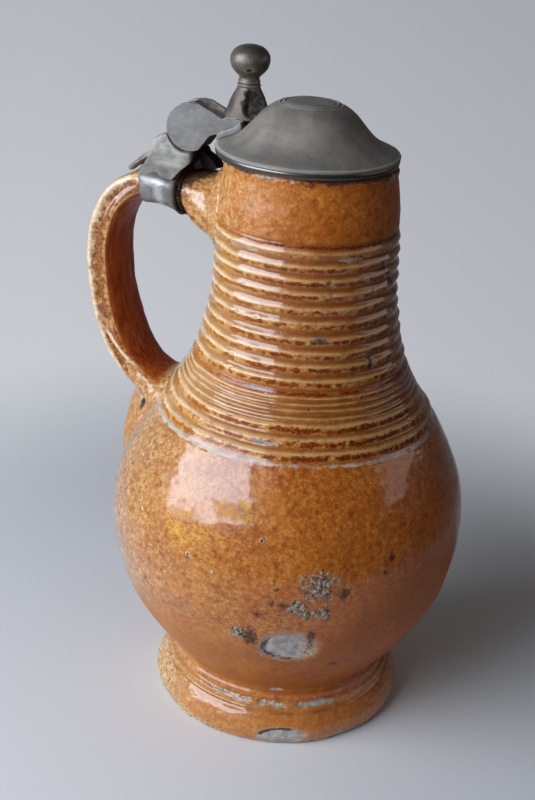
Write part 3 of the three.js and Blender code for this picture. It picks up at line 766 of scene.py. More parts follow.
def lid_material():
    """Turned pewter under a dark patina, with fine lathe lines round its axis."""
    s = Shader("lid_pewter", Specular_IOR_Level=0.4)
    parts = s.node("ShaderNodeSeparateXYZ", {0: s.place}).outputs
    east, north = s.math("SUBTRACT", parts["X"], LID_X), parts["Y"]
    radius = s.math("SQRT", s.add(s.times(east, east), s.times(north, north)), 0.0)
    along = {"W": s.times(radius, 1.4), "Scale": 1.0, "Detail": 3.0}
    lathed = s.node("ShaderNodeTexNoise", along, noise_dimensions="1D").outputs["Fac"]
    cloud = s.noise(11, 4, shift=6, roughness=0.62)
    fine = s.noise(1.0, 3, shift=15)
    wear, brim = s.fields("wear", "brim")
    s.colour = s.tones(cloud, 0.34, 0.66, "847c71", "988f82")
    s.over(s.ramp(fine, 0.52, 0.7), "a59e96", 0.25)
    s.over(s.ramp(lathed, 0.5, 0.66), "a09a92", 0.1)
    # Pale on worn edges, and along the brim's top edge and beside the crown rings, where a highlight is
    # painted.
    s.over(s.ramp(s.add(wear, s.times(fine, 0.25)), 0.35, 0.75, 0, 0.9), "bab5ae")
    s.over(s.ramp(wear, -0.7, -0.15, 0.75, 0.0), "242220")
    grit = s.specks(2.2, 5, (0.1, 0.2), (0.66, 0.7))
    grit = s.times(grit, s.ramp(s.field("gritty"), 0.1, 0.9))
    s.over(grit, "2b2926", 0.7)
    s.over(brim, "625f5b", 0.8)
    s.bump(s.add(s.times(lathed, 0.2), s.times(fine, 0.3), s.times(grit, -0.6)), 0.08)
    rough = s.blend(brim, s.ramp(cloud, 0.3, 0.7, 0.46, 0.58), 0.3)
    return s.finish(rough, Metallic=s.blend(brim, 0.3, 0.9))


def packing_material():
    """Dark crusty filler."""
    s = Shader("packing_crust", Specular_IOR_Level=0.2)
    lumps = s.noise(1.1, 4, twist=0.8)
    s.colour = s.tones(lumps, 0.4, 0.62, "1d1713", "4d4238")
    s.over(s.ramp(s.cells(1.6, 3)[0], 0.12, 0.3, 0.6, 0), "8a7d6c")
    s.bump(lumps, 0.6)
    return s.finish(0.9)


# The vessel


def vessel_lines():
    """Samples down the whole section: radius, height and whether it is the outside."""
    outside, inside = curve_through(FOOT_AND_BELLY + SHOULDER_AND_NECK), curve_through(INSIDE)
    line = np.vstack([
        np.column_stack([outside, np.ones(len(outside))]),
        np.column_stack([inside, np.zeros(len(inside))]),
    ])
    radius, height, out = line.T
    fine = ((height > 130) & (height < 217)) | ((height > 0.05) & (height < 26))
    step = np.where(fine, 0.42, 1.35)
    step = np.where((radius < 46) & (height < 1), 4.0, step)
    step = np.where(height > 234, 0.5, step)
    rows = resample(line, np.where((out < 0.5) & (height < 234), 4.0, step))
    rows[:, 1] = np.maximum(rows[:, 1], 0)
    return rows[rows[:, 0] > 0.5]


class Wall:
    """The vessel's skin as a grid, with a row for each sample of its section."""

    def __init__(self):
        self.rows = vessel_lines()
        self.on_outside = self.rows[:, 2] > 0.5
        self.out = self.on_outside[:, None]
        self.walked = walked_along(self.rows[:, :2])
        self.climbing = self.on_outside & (self.rows[:, 1] > 0.01)
        self.angle = np.repeat(turns(VESSEL_COLUMNS)[None], len(self.rows), axis=0)
        self.degrees = np.degrees(self.angle)
        self.radius, self.height, self.arc = (
            np.repeat(column[:, None], VESSEL_COLUMNS, axis=1)
            for column in (self.rows[:, 0], self.rows[:, 1], self.walked)
        )
        self.around = np.stack([np.cos(self.angle), np.sin(self.angle)], -1)
        self.place = np.dstack([self.around * self.radius[..., None], self.height])

    def grain(self, size, octaves=1, shift=0.0):
        return grain(self.place, size, octaves, shift)

    def near(self, angle, width):
        """1 at an angle round the jug, and less away from it."""
        return bell((self.degrees - angle) / width, 1)

    def marked(self, marks):
        """How far inside the nearest oval mark each point lies: 1 in its middle, 0.5 on its edge."""
        best = np.zeros_like(self.angle)
        for mark_angle, height, half_width, half_length in marks:
            turn = (self.angle - math.radians(mark_angle) + math.pi) % (2 * math.pi) - math.pi
            across = turn * self.radius / half_width
            level = np.interp(height, self.rows[self.climbing, 1], self.walked[self.climbing])
            best = np.maximum(best, 1 - np.hypot(across, (self.arc - level) / half_length) / 2)
        return best


def rib_fields(wall):
    """The relief of the ribs, and where their crests, beads, grooves and faces lie."""
    relief, crest, pool, groove, face = (np.zeros_like(wall.angle) for _ in range(5))
    for index, (level, size) in enumerate(RIBS):
        close = (np.abs(wall.rows[:, 1] - level) < RIB_REACH) & wall.on_outside
        around = wall.around[close]
        ring = np.dstack([around * 2.2, np.full(around.shape[:2], index * 3.7)])
        swing = 0.35 * grain(ring, 1)
        narrowing = 0.5 if NARROW_RELIEF[0] < size < NARROW_RELIEF[1] else 1
        off = (wall.height[close] - level - swing) / narrowing
        strength = size * (1 + 0.3 * grain(ring * 1.9, 1, shift=11))
        relief[close] += 1.2 * strength * (drip_ridge(off, 1.9, 2.0) - 0.1 * bell(off - 2.6, 0.7))
        beads = np.dstack([around * wall.radius[close][..., None], np.full(off.shape, index * 19.0)])
        broken = smooth(-0.9, 0.2, grain(beads, 3.4, 2)) * smooth(-0.9, 0.1, grain(beads, 9, shift=2))
        drops = bell(off + 1.05 + 0.25 * grain(beads, 2.2, shift=3), 0.85) * broken
        for field, values in (
            (crest, bell(off - 0.45, 0.62) * smooth(0.2, 0.55, strength)),
            (groove, bell(off - 2.3, 0.75) * smooth(0.25, 0.5, strength)),
            (face, bell(off + 0.95, 0.95) * smooth(0.45, 0.65, strength)),
            (pool, drops * smooth(0.48, 0.65, strength)),
        ):
            field[close] = np.maximum(field[close], values)
    for level in SCRATCHED_LINES:
        cut = bell(wall.height - level, 0.4) * wall.out
        relief -= 0.35 * cut
        groove = np.maximum(groove, cut)
        hanging = smooth(-0.9, 0.0, wall.grain(6, 2, shift=level)) * wall.out
        pool = np.maximum(pool, bell(wall.height - level + 1.1, 0.7) * hanging)
    return relief, {"crest": crest, "pool": pool, "groove": groove, "face": face}


def chipped(wall, crest, on_left, ragged, near_left):
    """Chips along the line under the ribs, the rim, the crests and the foot."""
    height = wall.height
    edge = bell(height - 133.9, 1.2) * (0.1 + 0.3 * on_left + 0.5 * ragged)
    rim = bell(height - 237.8, 1.1) * (0.05 + 0.72 * near_left + 0.6 * wall.grain(3.3, 2, shift=5))
    rim = np.maximum(rim, 0.95 * wall.near(360, 13) * bell(height - 237.2, 1.8))
    crests = crest * smooth(0.28, 0.62, wall.grain(6.5, 2, shift=17))
    foot = bell(height - 17, 1.7) * (0.5 + 0.95 * wall.grain(4.0, 3, shift=9))
    foot *= wall.near(290, 38) + 0.3
    return np.maximum.reduce([edge, rim, crests * 0.62, foot]) * wall.out


def sooted(wall, scar, near_left):
    """Dark spots, soot at one side of the two scars, and the rim: painted shadow of the lid, with dirt."""
    height = wall.height
    scar_angle, scar_height = SCAR[:2]
    turned_from = wall.degrees - 360 - scar_angle
    lower_left = smooth(-2, 7, -turned_from - 0.7 * (height - scar_height))
    upper = smooth(4.6, 5.8, height) * smooth(-60, -64, wall.degrees - 360)
    # Painted shadow of the lid, with dirt, as a dark band round the rim, less on the left where the light
    # comes from.
    rim = smooth(236.3, 239.2, height + 1.2 * wall.grain(6, shift=31)) * (1 - 0.85 * near_left)
    return np.maximum.reduce([
        wall.marked(DARK_SPOTS),
        0.95 * bell(scar - 0.55, 0.045) * lower_left,
        bell(wall.marked([FOOT_SCAR]) - 0.54, 0.07) * upper,
        np.maximum(rim, smooth(239.0, 239.4, height)) * wall.out,
    ])


def wall_fields(wall, ribs):
    """Every painted field of the vessel but those that follow the finished relief."""
    height, out, degrees = wall.height, wall.out, wall.degrees
    ragged = 0.7 * wall.grain(4.2, 3)
    on_left = wall.near(232, 40) + wall.near(343, 26)
    on_left += 0.7 * wall.near(90, 50)
    near_left = wall.near(266, 18)
    on_right = smooth(285, 340, degrees)
    slip = bell(height - SLIP_LINE, 0.95) * np.clip(0.45 + 0.75 * on_left + 0.5 * ragged, 0, 1)
    smears = wall.marked(SMEARS) + 0.22 * wall.grain(2.4, 2, shift=37)
    slip = np.maximum(slip, 0.9 * smooth(0.42, 0.7, smears))
    scar = wall.marked([SCAR])
    left_side = wall.near(205, 30) * smooth(17, 12, height) * out
    crumbly = wall.near(240, 22) * smooth(5.5, 2.5, height) * out
    # A dark ring under the rim, laid as pooled glaze: painted shadow of the lid, with dirt.
    lid_shadow_ring = bell(height - 237.2, 0.9) * (0.25 + 0.5 * wall.grain(6, 2, shift=23)) * out
    groove = ribs["groove"]
    for level in FOOT_LINES:
        uneven = 0.7 + 0.5 * wall.grain(6, 2, shift=level)
        groove = np.maximum(groove, bell(height - level, 0.7) * uneven * out)
    return {
        "crest": ribs["crest"] * out,
        "face": ribs["face"],
        "groove": groove,
        "pool": np.maximum(ribs["pool"], lid_shadow_ring),
        "ribbed": smooth(133.5, 136, height) * smooth(216.2, 214, height) * out,
        "low": smooth(76 + 36 * on_right, 50 + 30 * on_right, height) * smooth(19, 24, height) * out,
        "foot": smooth(19.5, 17.5, height) * out,
        # Painted sheen: a paler colour on the left side, which faces the lamp.
        "pale": wall.near(205, 48) * out,
        "warm": smooth(262, 325, degrees) + smooth(60, 20, degrees),
        "yellow": wall.marked(YELLOW_PATCHES) * out,
        "bare": wall.marked(BARE_PATCHES),
        "debris": wall.marked(DEBRIS),
        "chip": chipped(wall, ribs["crest"], on_left, ragged, near_left),
        "slip": slip * out,
        "crust": np.clip(np.maximum(left_side * 1.15, 0.8 * crumbly), 0, 1),
        "soot": sooted(wall, scar, near_left),
        "scar": scar,
        "scar_side": 0.5 + (degrees - 360 - SCAR[0]) / 22 * (scar > 0),
    }


def make_vessel(material):
    wall = Wall()
    relief, ribs = rib_fields(wall)
    fields = wall_fields(wall, ribs)
    bare, chip, debris, scar = (fields[name] for name in ("bare", "chip", "debris", "scar"))

    lumps = 0.28 * wall.grain(21, 2) + 0.07 * wall.grain(5, 2, shift=3)
    hand = 0.12 * grain(wall.place * np.array([0.2, 0.2, 1]), 3.4, 2, shift=7)
    relief += (lumps + hand) * np.where(wall.out, 1, 0.8)
    relief -= 0.4 * smooth(0.4, 0.62, np.maximum(bare, chip) + 0.1 * wall.grain(3)) * wall.out
    relief -= 0.5 * smooth(0.5, 0.9, scar)
    relief += debris.clip(0, 1) * (0.35 + 0.8 * wall.grain(1.7, 2, shift=2)) * (debris > 0.2)
    relief += fields["crust"] * (0.1 + 1.1 * np.abs(wall.grain(2.6, 2, shift=6)))
    relief -= 0.35 * smooth(0.4, 0.8, fields["soot"]) * (scar < 0.2)
    on_base = wall.out & (wall.rows[:, 1:2] < 0.02)
    relief = np.where(on_base, 0, relief)
    tangent = tangents(wall.rows[:, :2])
    radius = wall.radius + relief * tangent[:, 1:2]
    height = np.maximum(wall.height - relief * tangent[:, :1], 0)

    lean = np.interp(height, *np.array(LEAN).T)
    across = math.radians(CAMERA_AZIMUTH)
    piece = skin("vessel_body", np.dstack([
        radius * np.cos(wall.angle) + lean * math.cos(across),
        radius * np.sin(wall.angle) + lean * math.sin(across),
        height,
    ]))
    fields["unglazed"] = smooth(1.2, 0.3, height) * wall.out
    fields["satin"] = smooth(214, 217, height) * wall.out
    at_caps = [0.0, 0.0]
    paint(piece, **{name: [*values.ravel(), *at_caps] for name, values in fields.items()})
    dress(piece, "jug", "stoneware", material, "vessel")


# The handle


def strap_line():
    """Fine samples down the strap: x, z, half width, half thickness and roundness."""
    stations = np.array(STRAP, float)
    middle = curve_through(stations[:, :2], step=0.2)
    nearest = [np.argmin(np.linalg.norm(middle - p, axis=1)) for p in stations[:, :2]]
    walked = walked_along(middle)
    sizes = [np.interp(walked, walked[nearest], stations[:, k]) for k in (2, 3, 4)]
    return np.column_stack([middle, *sizes])


def strap_section(points):
    """Half a section, mirrored and smoothed into a closed ring of evenly spaced points."""
    mirrored = [[-u, v] for u, v in reversed(points) if u > 0]
    ring = curve_through(points + mirrored + points[:1], step=0.01)
    return resample(ring, SECTION_STEP)[:-1]


def strap_rings(line, growth=0.0):
    """Rings of points round the strap, in millimetres, for each sample of its line."""
    sections = strap_section(OVAL_SECTION), strap_section(GRIP_SECTION)
    share = np.linspace(0, 1, min(len(section) for section in sections), endpoint=False)

    def evened(ring):
        at = np.linspace(0, 1, len(ring), endpoint=False)
        return np.stack([np.interp(share, at, ring[:, k]) for k in (0, 1)], -1)

    oval, grip = (evened(section) for section in sections)
    rings = []
    for (x, z, half_width, half_thickness, roundness), (along_x, along_z) in zip(line, tangents(line[:, :2])):
        section = roundness * oval + (1 - roundness) * grip
        u = section[:, 0] * (half_width + growth)
        v = section[:, 1] * (half_thickness + growth)
        rings.append(np.column_stack([x + v * along_z, u, z - v * along_x]))
    return np.array(rings)


def tail_blank():
    turn = turns(56)
    return skin("tail_blank", np.array([
        np.column_stack([
            -TAIL_ROOT - (reach - TAIL_ROOT) * np.cos(turn),
            half_width * np.sin(turn),
            np.full(len(turn), z),
        ])
        for z, reach, half_width in curve_through(TAIL, step=0.8)
    ]))


def plug_blank():
    """A body just inside the vessel's wall, which the handle is cut back to."""
    turn = turns(96)
    heights = np.linspace(80, 238, 160)
    return skin("plug_blank", np.array([
        np.column_stack([radius * np.cos(turn), radius * np.sin(turn), np.full(len(turn), z)])
        for radius, z in zip(vessel_radius(heights) - HANDLE_SINKS_IN, heights)
    ]))


def make_handle(material):
    line = strap_line()
    blanks = skin("strap_blank", strap_rings(line[::4])), tail_blank(), plug_blank()
    piece = recast("handle_strap", *blanks[:2], cutter=blanks[2])
    discard(*blanks)
    points, normals = surface_of(piece)
    from_wall = np.hypot(points[:, 0], points[:, 1]) - vessel_radius(points[:, 2])
    fillet = FILLET_HEIGHT * np.clip(1 - from_wall / FILLET_REACH, 0, 1) ** 2
    points = points + normals * (fillet * np.where(points[:, 2] < 122, 0.25, 1))[:, None]
    lumps = 0.3 * grain(points, 13, 2) + 0.08 * grain(points, 4, 2, shift=5)
    drawn = 0.1 * grain(points * np.array([1, 1.9, 0.3]), 2.4, 2, shift=9)
    points = points + normals * (lumps + drawn)[:, None]
    from_hole = from_spot(points, TAIL_HOLE)
    push(piece, points, normals, -3.0 * smooth(2.1, 0.9, from_hole))
    paint_handle(piece, line, points, from_wall, from_hole)
    dress(piece, "jug", "stoneware", material, "handle")


def paint_handle(piece, line, points, from_wall, from_hole):
    """Cream and rust along the edges of the strap, the cream partly a painted highlight, dark red inside, and
    painted shade under the hinge.
    """
    x, y, z = points.T
    middle, tangent = line[:, :2], tangents(line[:, :2])
    nearest = np.array([np.argmin(((middle - p) ** 2).sum(1)) for p in points[:, [0, 2]]])
    aside = points[:, [0, 2]] - middle[nearest]
    # Places in the section: u from its middle plane, v from its middle line, as shares
    u = np.abs(y) / line[nearest, 2]
    v = aside[:, 0] * tangent[nearest, 1] - aside[:, 1] * tangent[nearest, 0]
    v = v / line[nearest, 3]
    grip = (1 - line[nearest, 4]) * smooth(0, 3, from_wall)
    ragged = grain(points * np.array([1, 1, 0.5]), 2.2, 3)
    beside = smooth(0.8, 0.92, u)
    forked = smooth(163, 156, z)
    branch = bell(v - np.interp(z, [141, 158], [-0.75, 0.5]), 0.16) * smooth(139, 143, z)
    lines = np.maximum(bell(v - 0.72, 0.2), branch)
    # Cream along the strap's edges: thin glaze and wear, partly a painted highlight.
    cream = np.maximum.reduce([
        smooth(0.1, 0.6, v + 0.45 * ragged) * beside * (1 - forked),
        1.2 * lines * smooth(0.74, 0.86, u) * forked,
        0.75 * bell(v + 0.7, 0.07) * smooth(0.85, 0.93, u) * smooth(150, 160, z),
    ])
    rusty = bell(v + 0.1, 0.5) * beside * (1.1 + 0.5 * ragged) * (1 - forked)
    in_fork = smooth(0.55, 0.4, v) * smooth(-0.75, -0.6, v)
    rusty = np.maximum(rusty, 0.95 * in_fork * forked * beside)
    rusty *= 1 - np.clip(1.3 * cream, 0, 1) * forked
    glaze_edge = np.clip(grip * 2, 0, 1) * smooth(0, 3, from_wall)
    inner = smooth(-0.6, -0.8, v) * smooth(126, 143, z) * smooth(1.5, 5, from_wall) * (x < -45)
    # Painted shade on the top of the strap under the hinge, laid as near-black.
    shade_under_hinge = smooth(219.5, 224.5, z - 0.55 * np.maximum(x + 50, 0))
    shade_under_hinge *= smooth(-54, -50, x) * smooth(-33, -37, x)
    paint(
        piece,
        crest=np.clip(cream * glaze_edge, 0, 1),
        rust=np.clip(rusty * glaze_edge, 0, 1),
        ribbed=0.5 * grip,
        # Painted sheen: the pale field, as on the lit side of the jug.
        pale=np.where(z < 145, 1.0, 0.85) * (1 - inner),
        satin=0.85 * inner,
        low=0.4 * (z < 128),
        bare=np.maximum(1 - from_spot(points, TAIL_CLAY) / 2.4, 0) * smooth(1.4, 2.4, from_hole),
        soot=np.maximum(np.clip(1.6 - from_hole / 2.2, 0, 1), shade_under_hinge),
        dark=np.clip(inner, 0, 1) * 0.92,
    )


# The pewter mounts


def sleeve(name, growths, left_edge, right_edge, bevel):
    """A band round the strap, between two growths and two slanting ends."""
    line = strap_line()
    line = line[(line[:, 1] > 205) & (line[:, 0] < -38)]
    left, right = (np.array(edge)[::-1] for edge in (left_edge, right_edge))
    inner_rings, outer_rings = (strap_rings(line, growth) for growth in growths)
    loops = []
    for column in range(inner_rings.shape[1]):
        ring = []
        for rings, corners in ((outer_rings, True), (inner_rings, False)):
            track = rings[::-1, column]
            track = track[np.argsort(track[:, 0])]
            z_middle = np.interp(-58, track[:, 0], track[:, 2])
            low = np.interp(z_middle, left[:, 0], left[:, 1])
            high = np.interp(z_middle, right[:, 0], right[:, 1])
            ends = bevel if corners else 0.0
            x = np.linspace(low + ends, high - ends, 16)
            along = np.column_stack([x, *(np.interp(x, track[:, 0], track[:, k]) for k in (1, 2))])
            ring.append(along if corners else along[::-1])
        loops.append(np.vstack(ring))
    return skin(name, np.array(loops), capped=False)


def make_collar(material, crust):
    band = sleeve("collar_band", COLLAR_GROWTH, COLLAR_LEFT, COLLAR_RIGHT, 0.45)
    points, normals = surface_of(band)
    edges = (np.array(edge)[::-1].T for edge in (COLLAR_LEFT, COLLAR_RIGHT))
    left, right = (np.interp(points[:, 2], *edge) for edge in edges)
    share = np.clip((points[:, 0] - left) / (right - left), 0, 1)
    barrel = 0.9 * np.sin(math.pi * share ** 0.8)
    push(band, points, normals, barrel + 0.14 * grain(points, 7, 2) - 0.3)
    # Painted highlight: a soft pale band down the middle of the collar.
    worn_and_lit = 0.56 * bell(share - 0.56, 0.2) * smooth(0.75, 0.3, normals[:, 2])
    # Painted shade at the collar's two ends and on its faces that turn up.
    shaded = np.maximum(0.75 * smooth(0.78, 0.97, share), 0.2 * smooth(0.2, 0.0, share))
    on_top = 0.6 * smooth(0.2, 0.55, normals[:, 2])
    paint(band, wear=worn_and_lit, dark=np.maximum(shaded, on_top))
    dress(band, "jug", "bright_pewter", material, "handle_collar")
    filler = sleeve("collar_filler", PACKING_GROWTH, PACKING_LEFT, PACKING_RIGHT, 0.2)
    points, normals = surface_of(filler)
    push(filler, points, normals, 0.25 * grain(points, 1.6, 2))
    dress(filler, "jug", "packing", crust, "collar_packing")


def make_bracket(material):
    piece = recast("bracket_casting", CAD["hinge_bracket"])
    points, normals = surface_of(piece)
    from_hinge = np.hypot(points[:, 0] - HINGE[0], points[:, 2] - HINGE[1])
    free = smooth(KNUCKLE_RADIUS + 0.6, KNUCKLE_RADIUS + 3, from_hinge)
    hammered = 0.9 * grain(points, 8, 2) + 0.1 * grain(points, 2.6, 2, shift=4)
    x, _, z = push(piece, points, normals, hammered * free).T
    # Painted shade, with dark patina, towards the rim under the hinge; painted shade on faces turned from the
    # lamp and on the foot.
    shade_and_patina_to_rim = smooth(-50.5, -47.5, x + 0.35 * (z - 235))
    shaded_turned_away = smooth(0.25, 0.6, np.maximum(normals[:, 0], -normals[:, 2])) * smooth(-56, -52, x)
    shaded_foot = 0.42 * smooth(231.5, 229.5, z)
    # The leaf on the left is painted paler, as painted light, besides its worn edges.
    wear = np.maximum(0.2 * edge_wear(piece, 0.07), 0.35 * smooth(-64, -67, x))
    paint(piece, wear=wear, dark=np.maximum.reduce([shade_and_patina_to_rim, shaded_turned_away, shaded_foot]))
    dress(piece, "jug", "pewter", material, "hinge_bracket")


def make_lid(material):
    line = np.vstack([curve_through(LID_OUTLINE), curve_through(LID_UNDERSIDE)])
    step = np.where(line[:, 0] > 32.5, 0.28, 0.6)
    near_rings = np.min([np.abs(line[:, 0] - ring) for ring in LID_RINGS], axis=0) < 1.2
    rows = resample(line, np.where(near_rings, 0.22, step))
    rows = rows[rows[:, 0] > 0.3]
    turn = turns(LID_COLUMNS)[None]
    radius, height = (np.repeat(rows[:, k : k + 1], LID_COLUMNS, axis=1) for k in (0, 1))
    on_top = (np.arange(len(rows)) < len(rows) * 0.5)[:, None] & (height > 255)
    for ring in LID_RINGS:
        height = height - 0.38 * bell(radius - ring, 0.3) * on_top
        height = height + 0.16 * bell(radius - ring - 0.6, 0.3) * on_top
    place = np.dstack([LID_X + radius * np.cos(turn), radius * np.sin(turn), height])
    dents = 0.22 * grain(place, 16, 2) + 0.05 * grain(place, 4, 2, shift=8)
    place[..., 2] += dents * smooth(LID_BOTTOM, LID_BOTTOM + 2.5, height)
    place[..., 0] += 0.12 * grain(place, 9, shift=2) * (radius > 33)
    piece = skin("lid_dome", place)

    x, y, z = points_of(piece).T
    from_axis = np.hypot(x - LID_X, y)
    on_crown = (z > 255) & (z < 262)
    lines = np.max([bell(from_axis - ring - 0.55, 0.3) for ring in LID_RINGS], axis=0) * on_crown
    edge = bell(from_axis - 35.3, 0.5) * smooth(241.8, 242.3, z)
    brim = smooth(34.9, 35.5, from_axis) * smooth(241.9, 241.4, z)
    # Pale along the brim's top edge and beside the crown rings: wear with a painted highlight.
    wear = np.maximum.reduce([edge_wear(piece, 0.05) * (from_axis < 34), edge * 0.7, lines * 0.75])
    paint(piece, wear=wear, gritty=smooth(4, 16, x) * smooth(10, -14, y), brim=brim)
    dress(piece, "lid", "dark_pewter", material, "lid")


def make_arm(material, solder):
    piece = recast("arm_casting", CAD["lid_arm"])
    wear = edge_wear(piece, 0.04)
    points, normals = surface_of(piece)
    upright = normals[:, 2]
    points += normals * (0.08 * grain(points, 3.2, 2) * smooth(0.2, 0.8, upright))[:, None]
    hood_top = points[:, 2].max() - 1.3
    points[:, 2] = np.minimum(points[:, 2], hood_top + 0.15 * (points[:, 2] - hood_top))
    set_points(piece, points)
    aside = np.abs(points[:, 1])
    # Tarnish with painted light: a paler warm tint on the tops of the arm that face up.
    lit_top_and_tarnish = smooth(0.3, 0.7, upright) * smooth(6.4, 5.6, aside)
    # Painted shade on the underside of the arm by the hinge.
    below = smooth(-0.2, -0.6, upright) * smooth(-38, -42, points[:, 0])
    lip = 0.9 * bell(aside - 6.1, 0.4) * smooth(0.1, 0.4, upright)
    paint(piece, wear=np.maximum(wear * 0.6, lip), dark=0.8 * below, brown=lit_top_and_tarnish)
    dress(piece, "lid", "pewter", material, "lid_arm")
    seam = recast("solder_run", CAD["arm_solder"])
    points, normals = surface_of(seam)
    points += normals * (0.5 + 0.15 * grain(points, 2.2, 2))[:, None]
    points[:, 2] += 0.6 * smooth(0, 0.6, normals[:, 2])
    set_points(seam, points)
    dress(seam, "lid", "solder", solder, "arm_solder")


def make_thumbpiece(material):
    rows = resample(curve_through(THUMB_OUTLINE), 0.28)
    turn = turns(96)[None]
    z = rows[:, :1] + 0 * turn
    place = np.dstack([THUMB_X + rows[:, 1:2] * np.cos(turn), rows[:, 2:3] * np.sin(turn), z])
    inwards = np.dstack([np.full_like(z, THUMB_X), 0 * z, z]) - place
    inwards /= np.maximum(np.linalg.norm(inwards, axis=2), 0.5)[..., None]
    dug = smooth(1.25, 0.5, from_spot(place, STEM_HOLLOW) + 0.22 * grain(place, 2.6, 2, shift=6))
    place += inwards * (2.2 * dug * (1 + 0.2 * grain(place, 2.6, 2)))[..., None]
    pit = smooth(1.2, 0.5, from_spot(place, BALL_PIT))
    place += inwards * (0.35 * pit)[..., None]
    place += inwards * (0.12 * grain(place, 5, 2) * smooth(252, 255, z))[..., None]
    piece = skin("thumb_rest", place)
    shade = smooth(0.02, 0.35, dug) * (0.82 + 0.3 * grain(place, 2.2, 2, shift=1))
    on_stem = smooth(263.0, 261.5, z)
    shade = np.clip(np.maximum.reduce([shade, 0.9 * pit, 0.22 * on_stem]), 0, 1)
    wear = edge_wear(piece, 0.04) * np.array([*(1 - 0.8 * on_stem).ravel(), 1, 1])
    paint(piece, wear=wear, dark=[*shade.ravel(), 0, 0])
    dress(piece, "lid", "dark_pewter", material, "thumbpiece")


def make_pin(material):
    piece = recast("pin_peened", CAD["hinge_pin"])
    points, normals = surface_of(piece)
    head = smooth(PIN_HEAD, PIN_HEAD + 0.2, points[:, 1])
    push(piece, points, normals, 0.1 * grain(points, 1.4, 2) * head)
    paint(piece, wear=edge_wear(piece, 0.04))
    dress(piece, "lid", "pewter", material, "hinge_pin")


# Stage, light and camera


def make_stage():
    """A round pale floor that fades out into the pale room beyond it."""
    ring = [[FLOOR_REACH * math.cos(a) * MM, FLOOR_REACH * math.sin(a) * MM, 0] for a in turns(FLOOR_CORNERS)]
    mesh = bpy.data.meshes.new("floor")
    mesh.from_pydata(ring, [], [list(range(FLOOR_CORNERS))])
    floor = bpy.data.objects.new("floor", mesh)
    SCENE.collection.objects.link(floor)
    s = Shader("pale_paper", Specular_IOR_Level=0.1, Roughness=0.9, Base_Color="e0dfdc")
    distance = s.vector("LENGTH", s.place, output="Value")
    s.put(s.surface.inputs["Alpha"], s.ramp(distance, *FLOOR_FADE, 1.0, 0.0))
    floor.data.materials.append(s.material)


def softbox(name, azimuth, elevation, distance, width, height, power, colour, roll):
    """A soft lamp at a camera azimuth and elevation, aimed at the middle of the jug."""
    lamp = bpy.data.lights.new(name, "AREA")
    lamp.shape = "RECTANGLE"
    lamp.size, lamp.size_y = width * MM, height * MM
    lamp.energy = power
    lamp.color = rgb(colour)[:3]
    around, up = math.radians(azimuth), math.radians(elevation)
    back = Vector((math.sin(around) * math.cos(up), -math.cos(around) * math.cos(up), math.sin(up)))
    aim = Vector((0, 0, LAMP_AIM_HEIGHT * MM))
    holder = bpy.data.objects.new(name, lamp)
    turn = (-back).to_track_quat("-Z", "Y").to_matrix().to_4x4()
    roll_turn = Matrix.Rotation(math.radians(roll), 4, "Z")
    holder.matrix_world = Matrix.Translation(aim + back * distance * MM) @ turn @ roll_turn
    SCENE.collection.objects.link(holder)


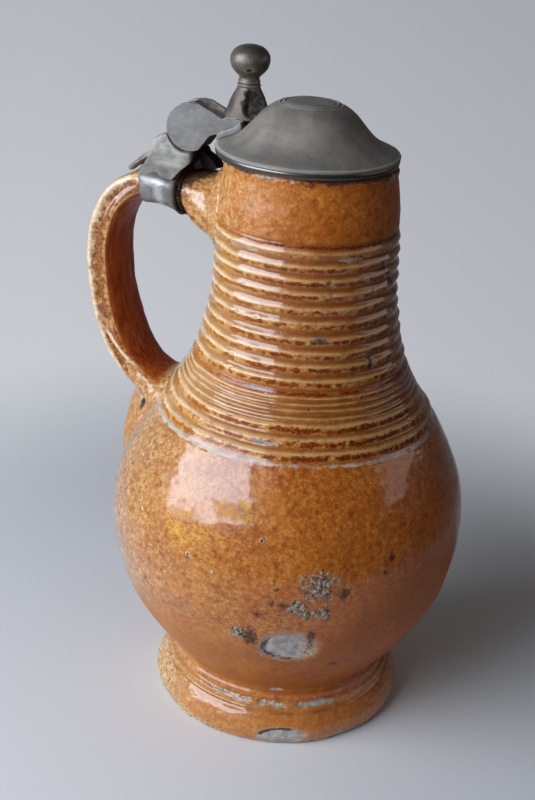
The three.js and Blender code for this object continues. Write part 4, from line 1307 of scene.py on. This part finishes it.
def make_world():
    """A dim room with a pale wall on the left. The camera sees a pale backdrop instead, and
    mirrored and passing rays that lead away from the camera see part of it."""
    world = bpy.data.worlds.new("pale_room")
    world.use_nodes = True
    w = Nodes(world.node_tree)

    def ramp(value, *limits):
        return w.ramp(value, *limits, kind="LINEAR")

    direction = w.node("ShaderNodeTexCoord").outputs["Generated"]
    around = math.radians(CAMERA_AZIMUTH)
    to_right = (math.cos(around), math.sin(around), 0)
    onwards = (-math.sin(around), math.cos(around), -0.35)
    right, beyond = (w.vector("DOT_PRODUCT", direction, way, output="Value") for way in (to_right, onwards))
    height = w.node("ShaderNodeSeparateXYZ", {0: direction}).outputs["Z"]
    backdrop = w.mix(ramp(height, -0.45, -0.12), "cdd0d7", "b4b7be")
    wall = w.times(ramp(right, 0.3, -0.7), ramp(height, 0.8, 0.35))
    seen, room = (
        w.node("ShaderNodeBackground", {"Color": colour, "Strength": strength}).outputs[0]
        for colour, strength in (
            (backdrop, ramp(right, -0.2, 0.2, 1.0, 0.8)),
            ("c8cbd6", ramp(wall, 0, 1, ROOM_LIGHT, LEFT_WALL_LIGHT)),
        )
    )
    rays = w.node("ShaderNodeLightPath").outputs
    mirrored = w.most(rays["Is Glossy Ray"], rays["Is Transmission Ray"])
    mirrored = w.times(mirrored, ramp(beyond, 0.5, 1.05, 0, 0.6), ramp(right, -0.1, 0.5, 1, 0.3))
    shown = w.most(rays["Is Camera Ray"], mirrored)
    choice = w.node("ShaderNodeMixShader", {0: shown, 1: room, 2: seen}).outputs[0]
    w.put(w.tree.nodes["World Output"].inputs["Surface"], choice)
    SCENE.world = world


def make_camera():
    data = bpy.data.cameras.new("photo_camera")
    data.lens = CAMERA_LENS
    data.sensor_width = 36
    data.clip_start, data.clip_end = 0.05, 30
    camera = bpy.data.objects.new("photo_camera", data)
    turn = Matrix.Rotation(math.radians(CAMERA_AZIMUTH), 4, "Z")
    place = turn @ Vector((0, -CAMERA_DISTANCE * MM, CAMERA_HEIGHT * MM))
    heading = Matrix.Rotation(math.radians(-CAMERA_YAW), 4, "Z")
    pitch = Matrix.Rotation(math.radians(90 - CAMERA_PITCH), 4, "X")
    roll = Matrix.Rotation(math.radians(CAMERA_ROLL), 4, "Z")
    camera.matrix_world = Matrix.Translation(place) @ turn @ heading @ pitch @ roll
    SCENE.collection.objects.link(camera)
    SCENE.camera = camera
    SCENE.view_settings.view_transform = "Standard"


make_camera()
make_stage()
for lamp in LAMPS:
    softbox(*lamp)
make_world()

stoneware = stoneware_material()
pewter = pewter_material("cast_pewter", "959086", "b0aaa0", "c9c4bb", 0.62, 0.2, 0.15, sheen=0.05)
band_pewter = pewter_material("band_pewter", "7f7d79", "918f8a", "d0cdc7", 0.36, 0.5, 0.1, brushed=0.03)
knob_pewter = pewter_material("knob_pewter", "5d544a", "72685c", "8f8578", 0.4, 0.6, 0.12)
arm_pewter = pewter_material("arm_pewter", "726f69", "827f79", "a6a39c", 0.5, 0.3, 0.12)
solder_pewter = pewter_material("run_solder", "736f69", "85817a", "a09c94", 0.52, 0.28, 0.1)

make_vessel(stoneware)
make_handle(stoneware)
make_collar(band_pewter, packing_material())
make_bracket(pewter)
make_lid(lid_material())
make_arm(arm_pewter, solder_pewter)
make_thumbpiece(knob_pewter)
make_pin(pewter)
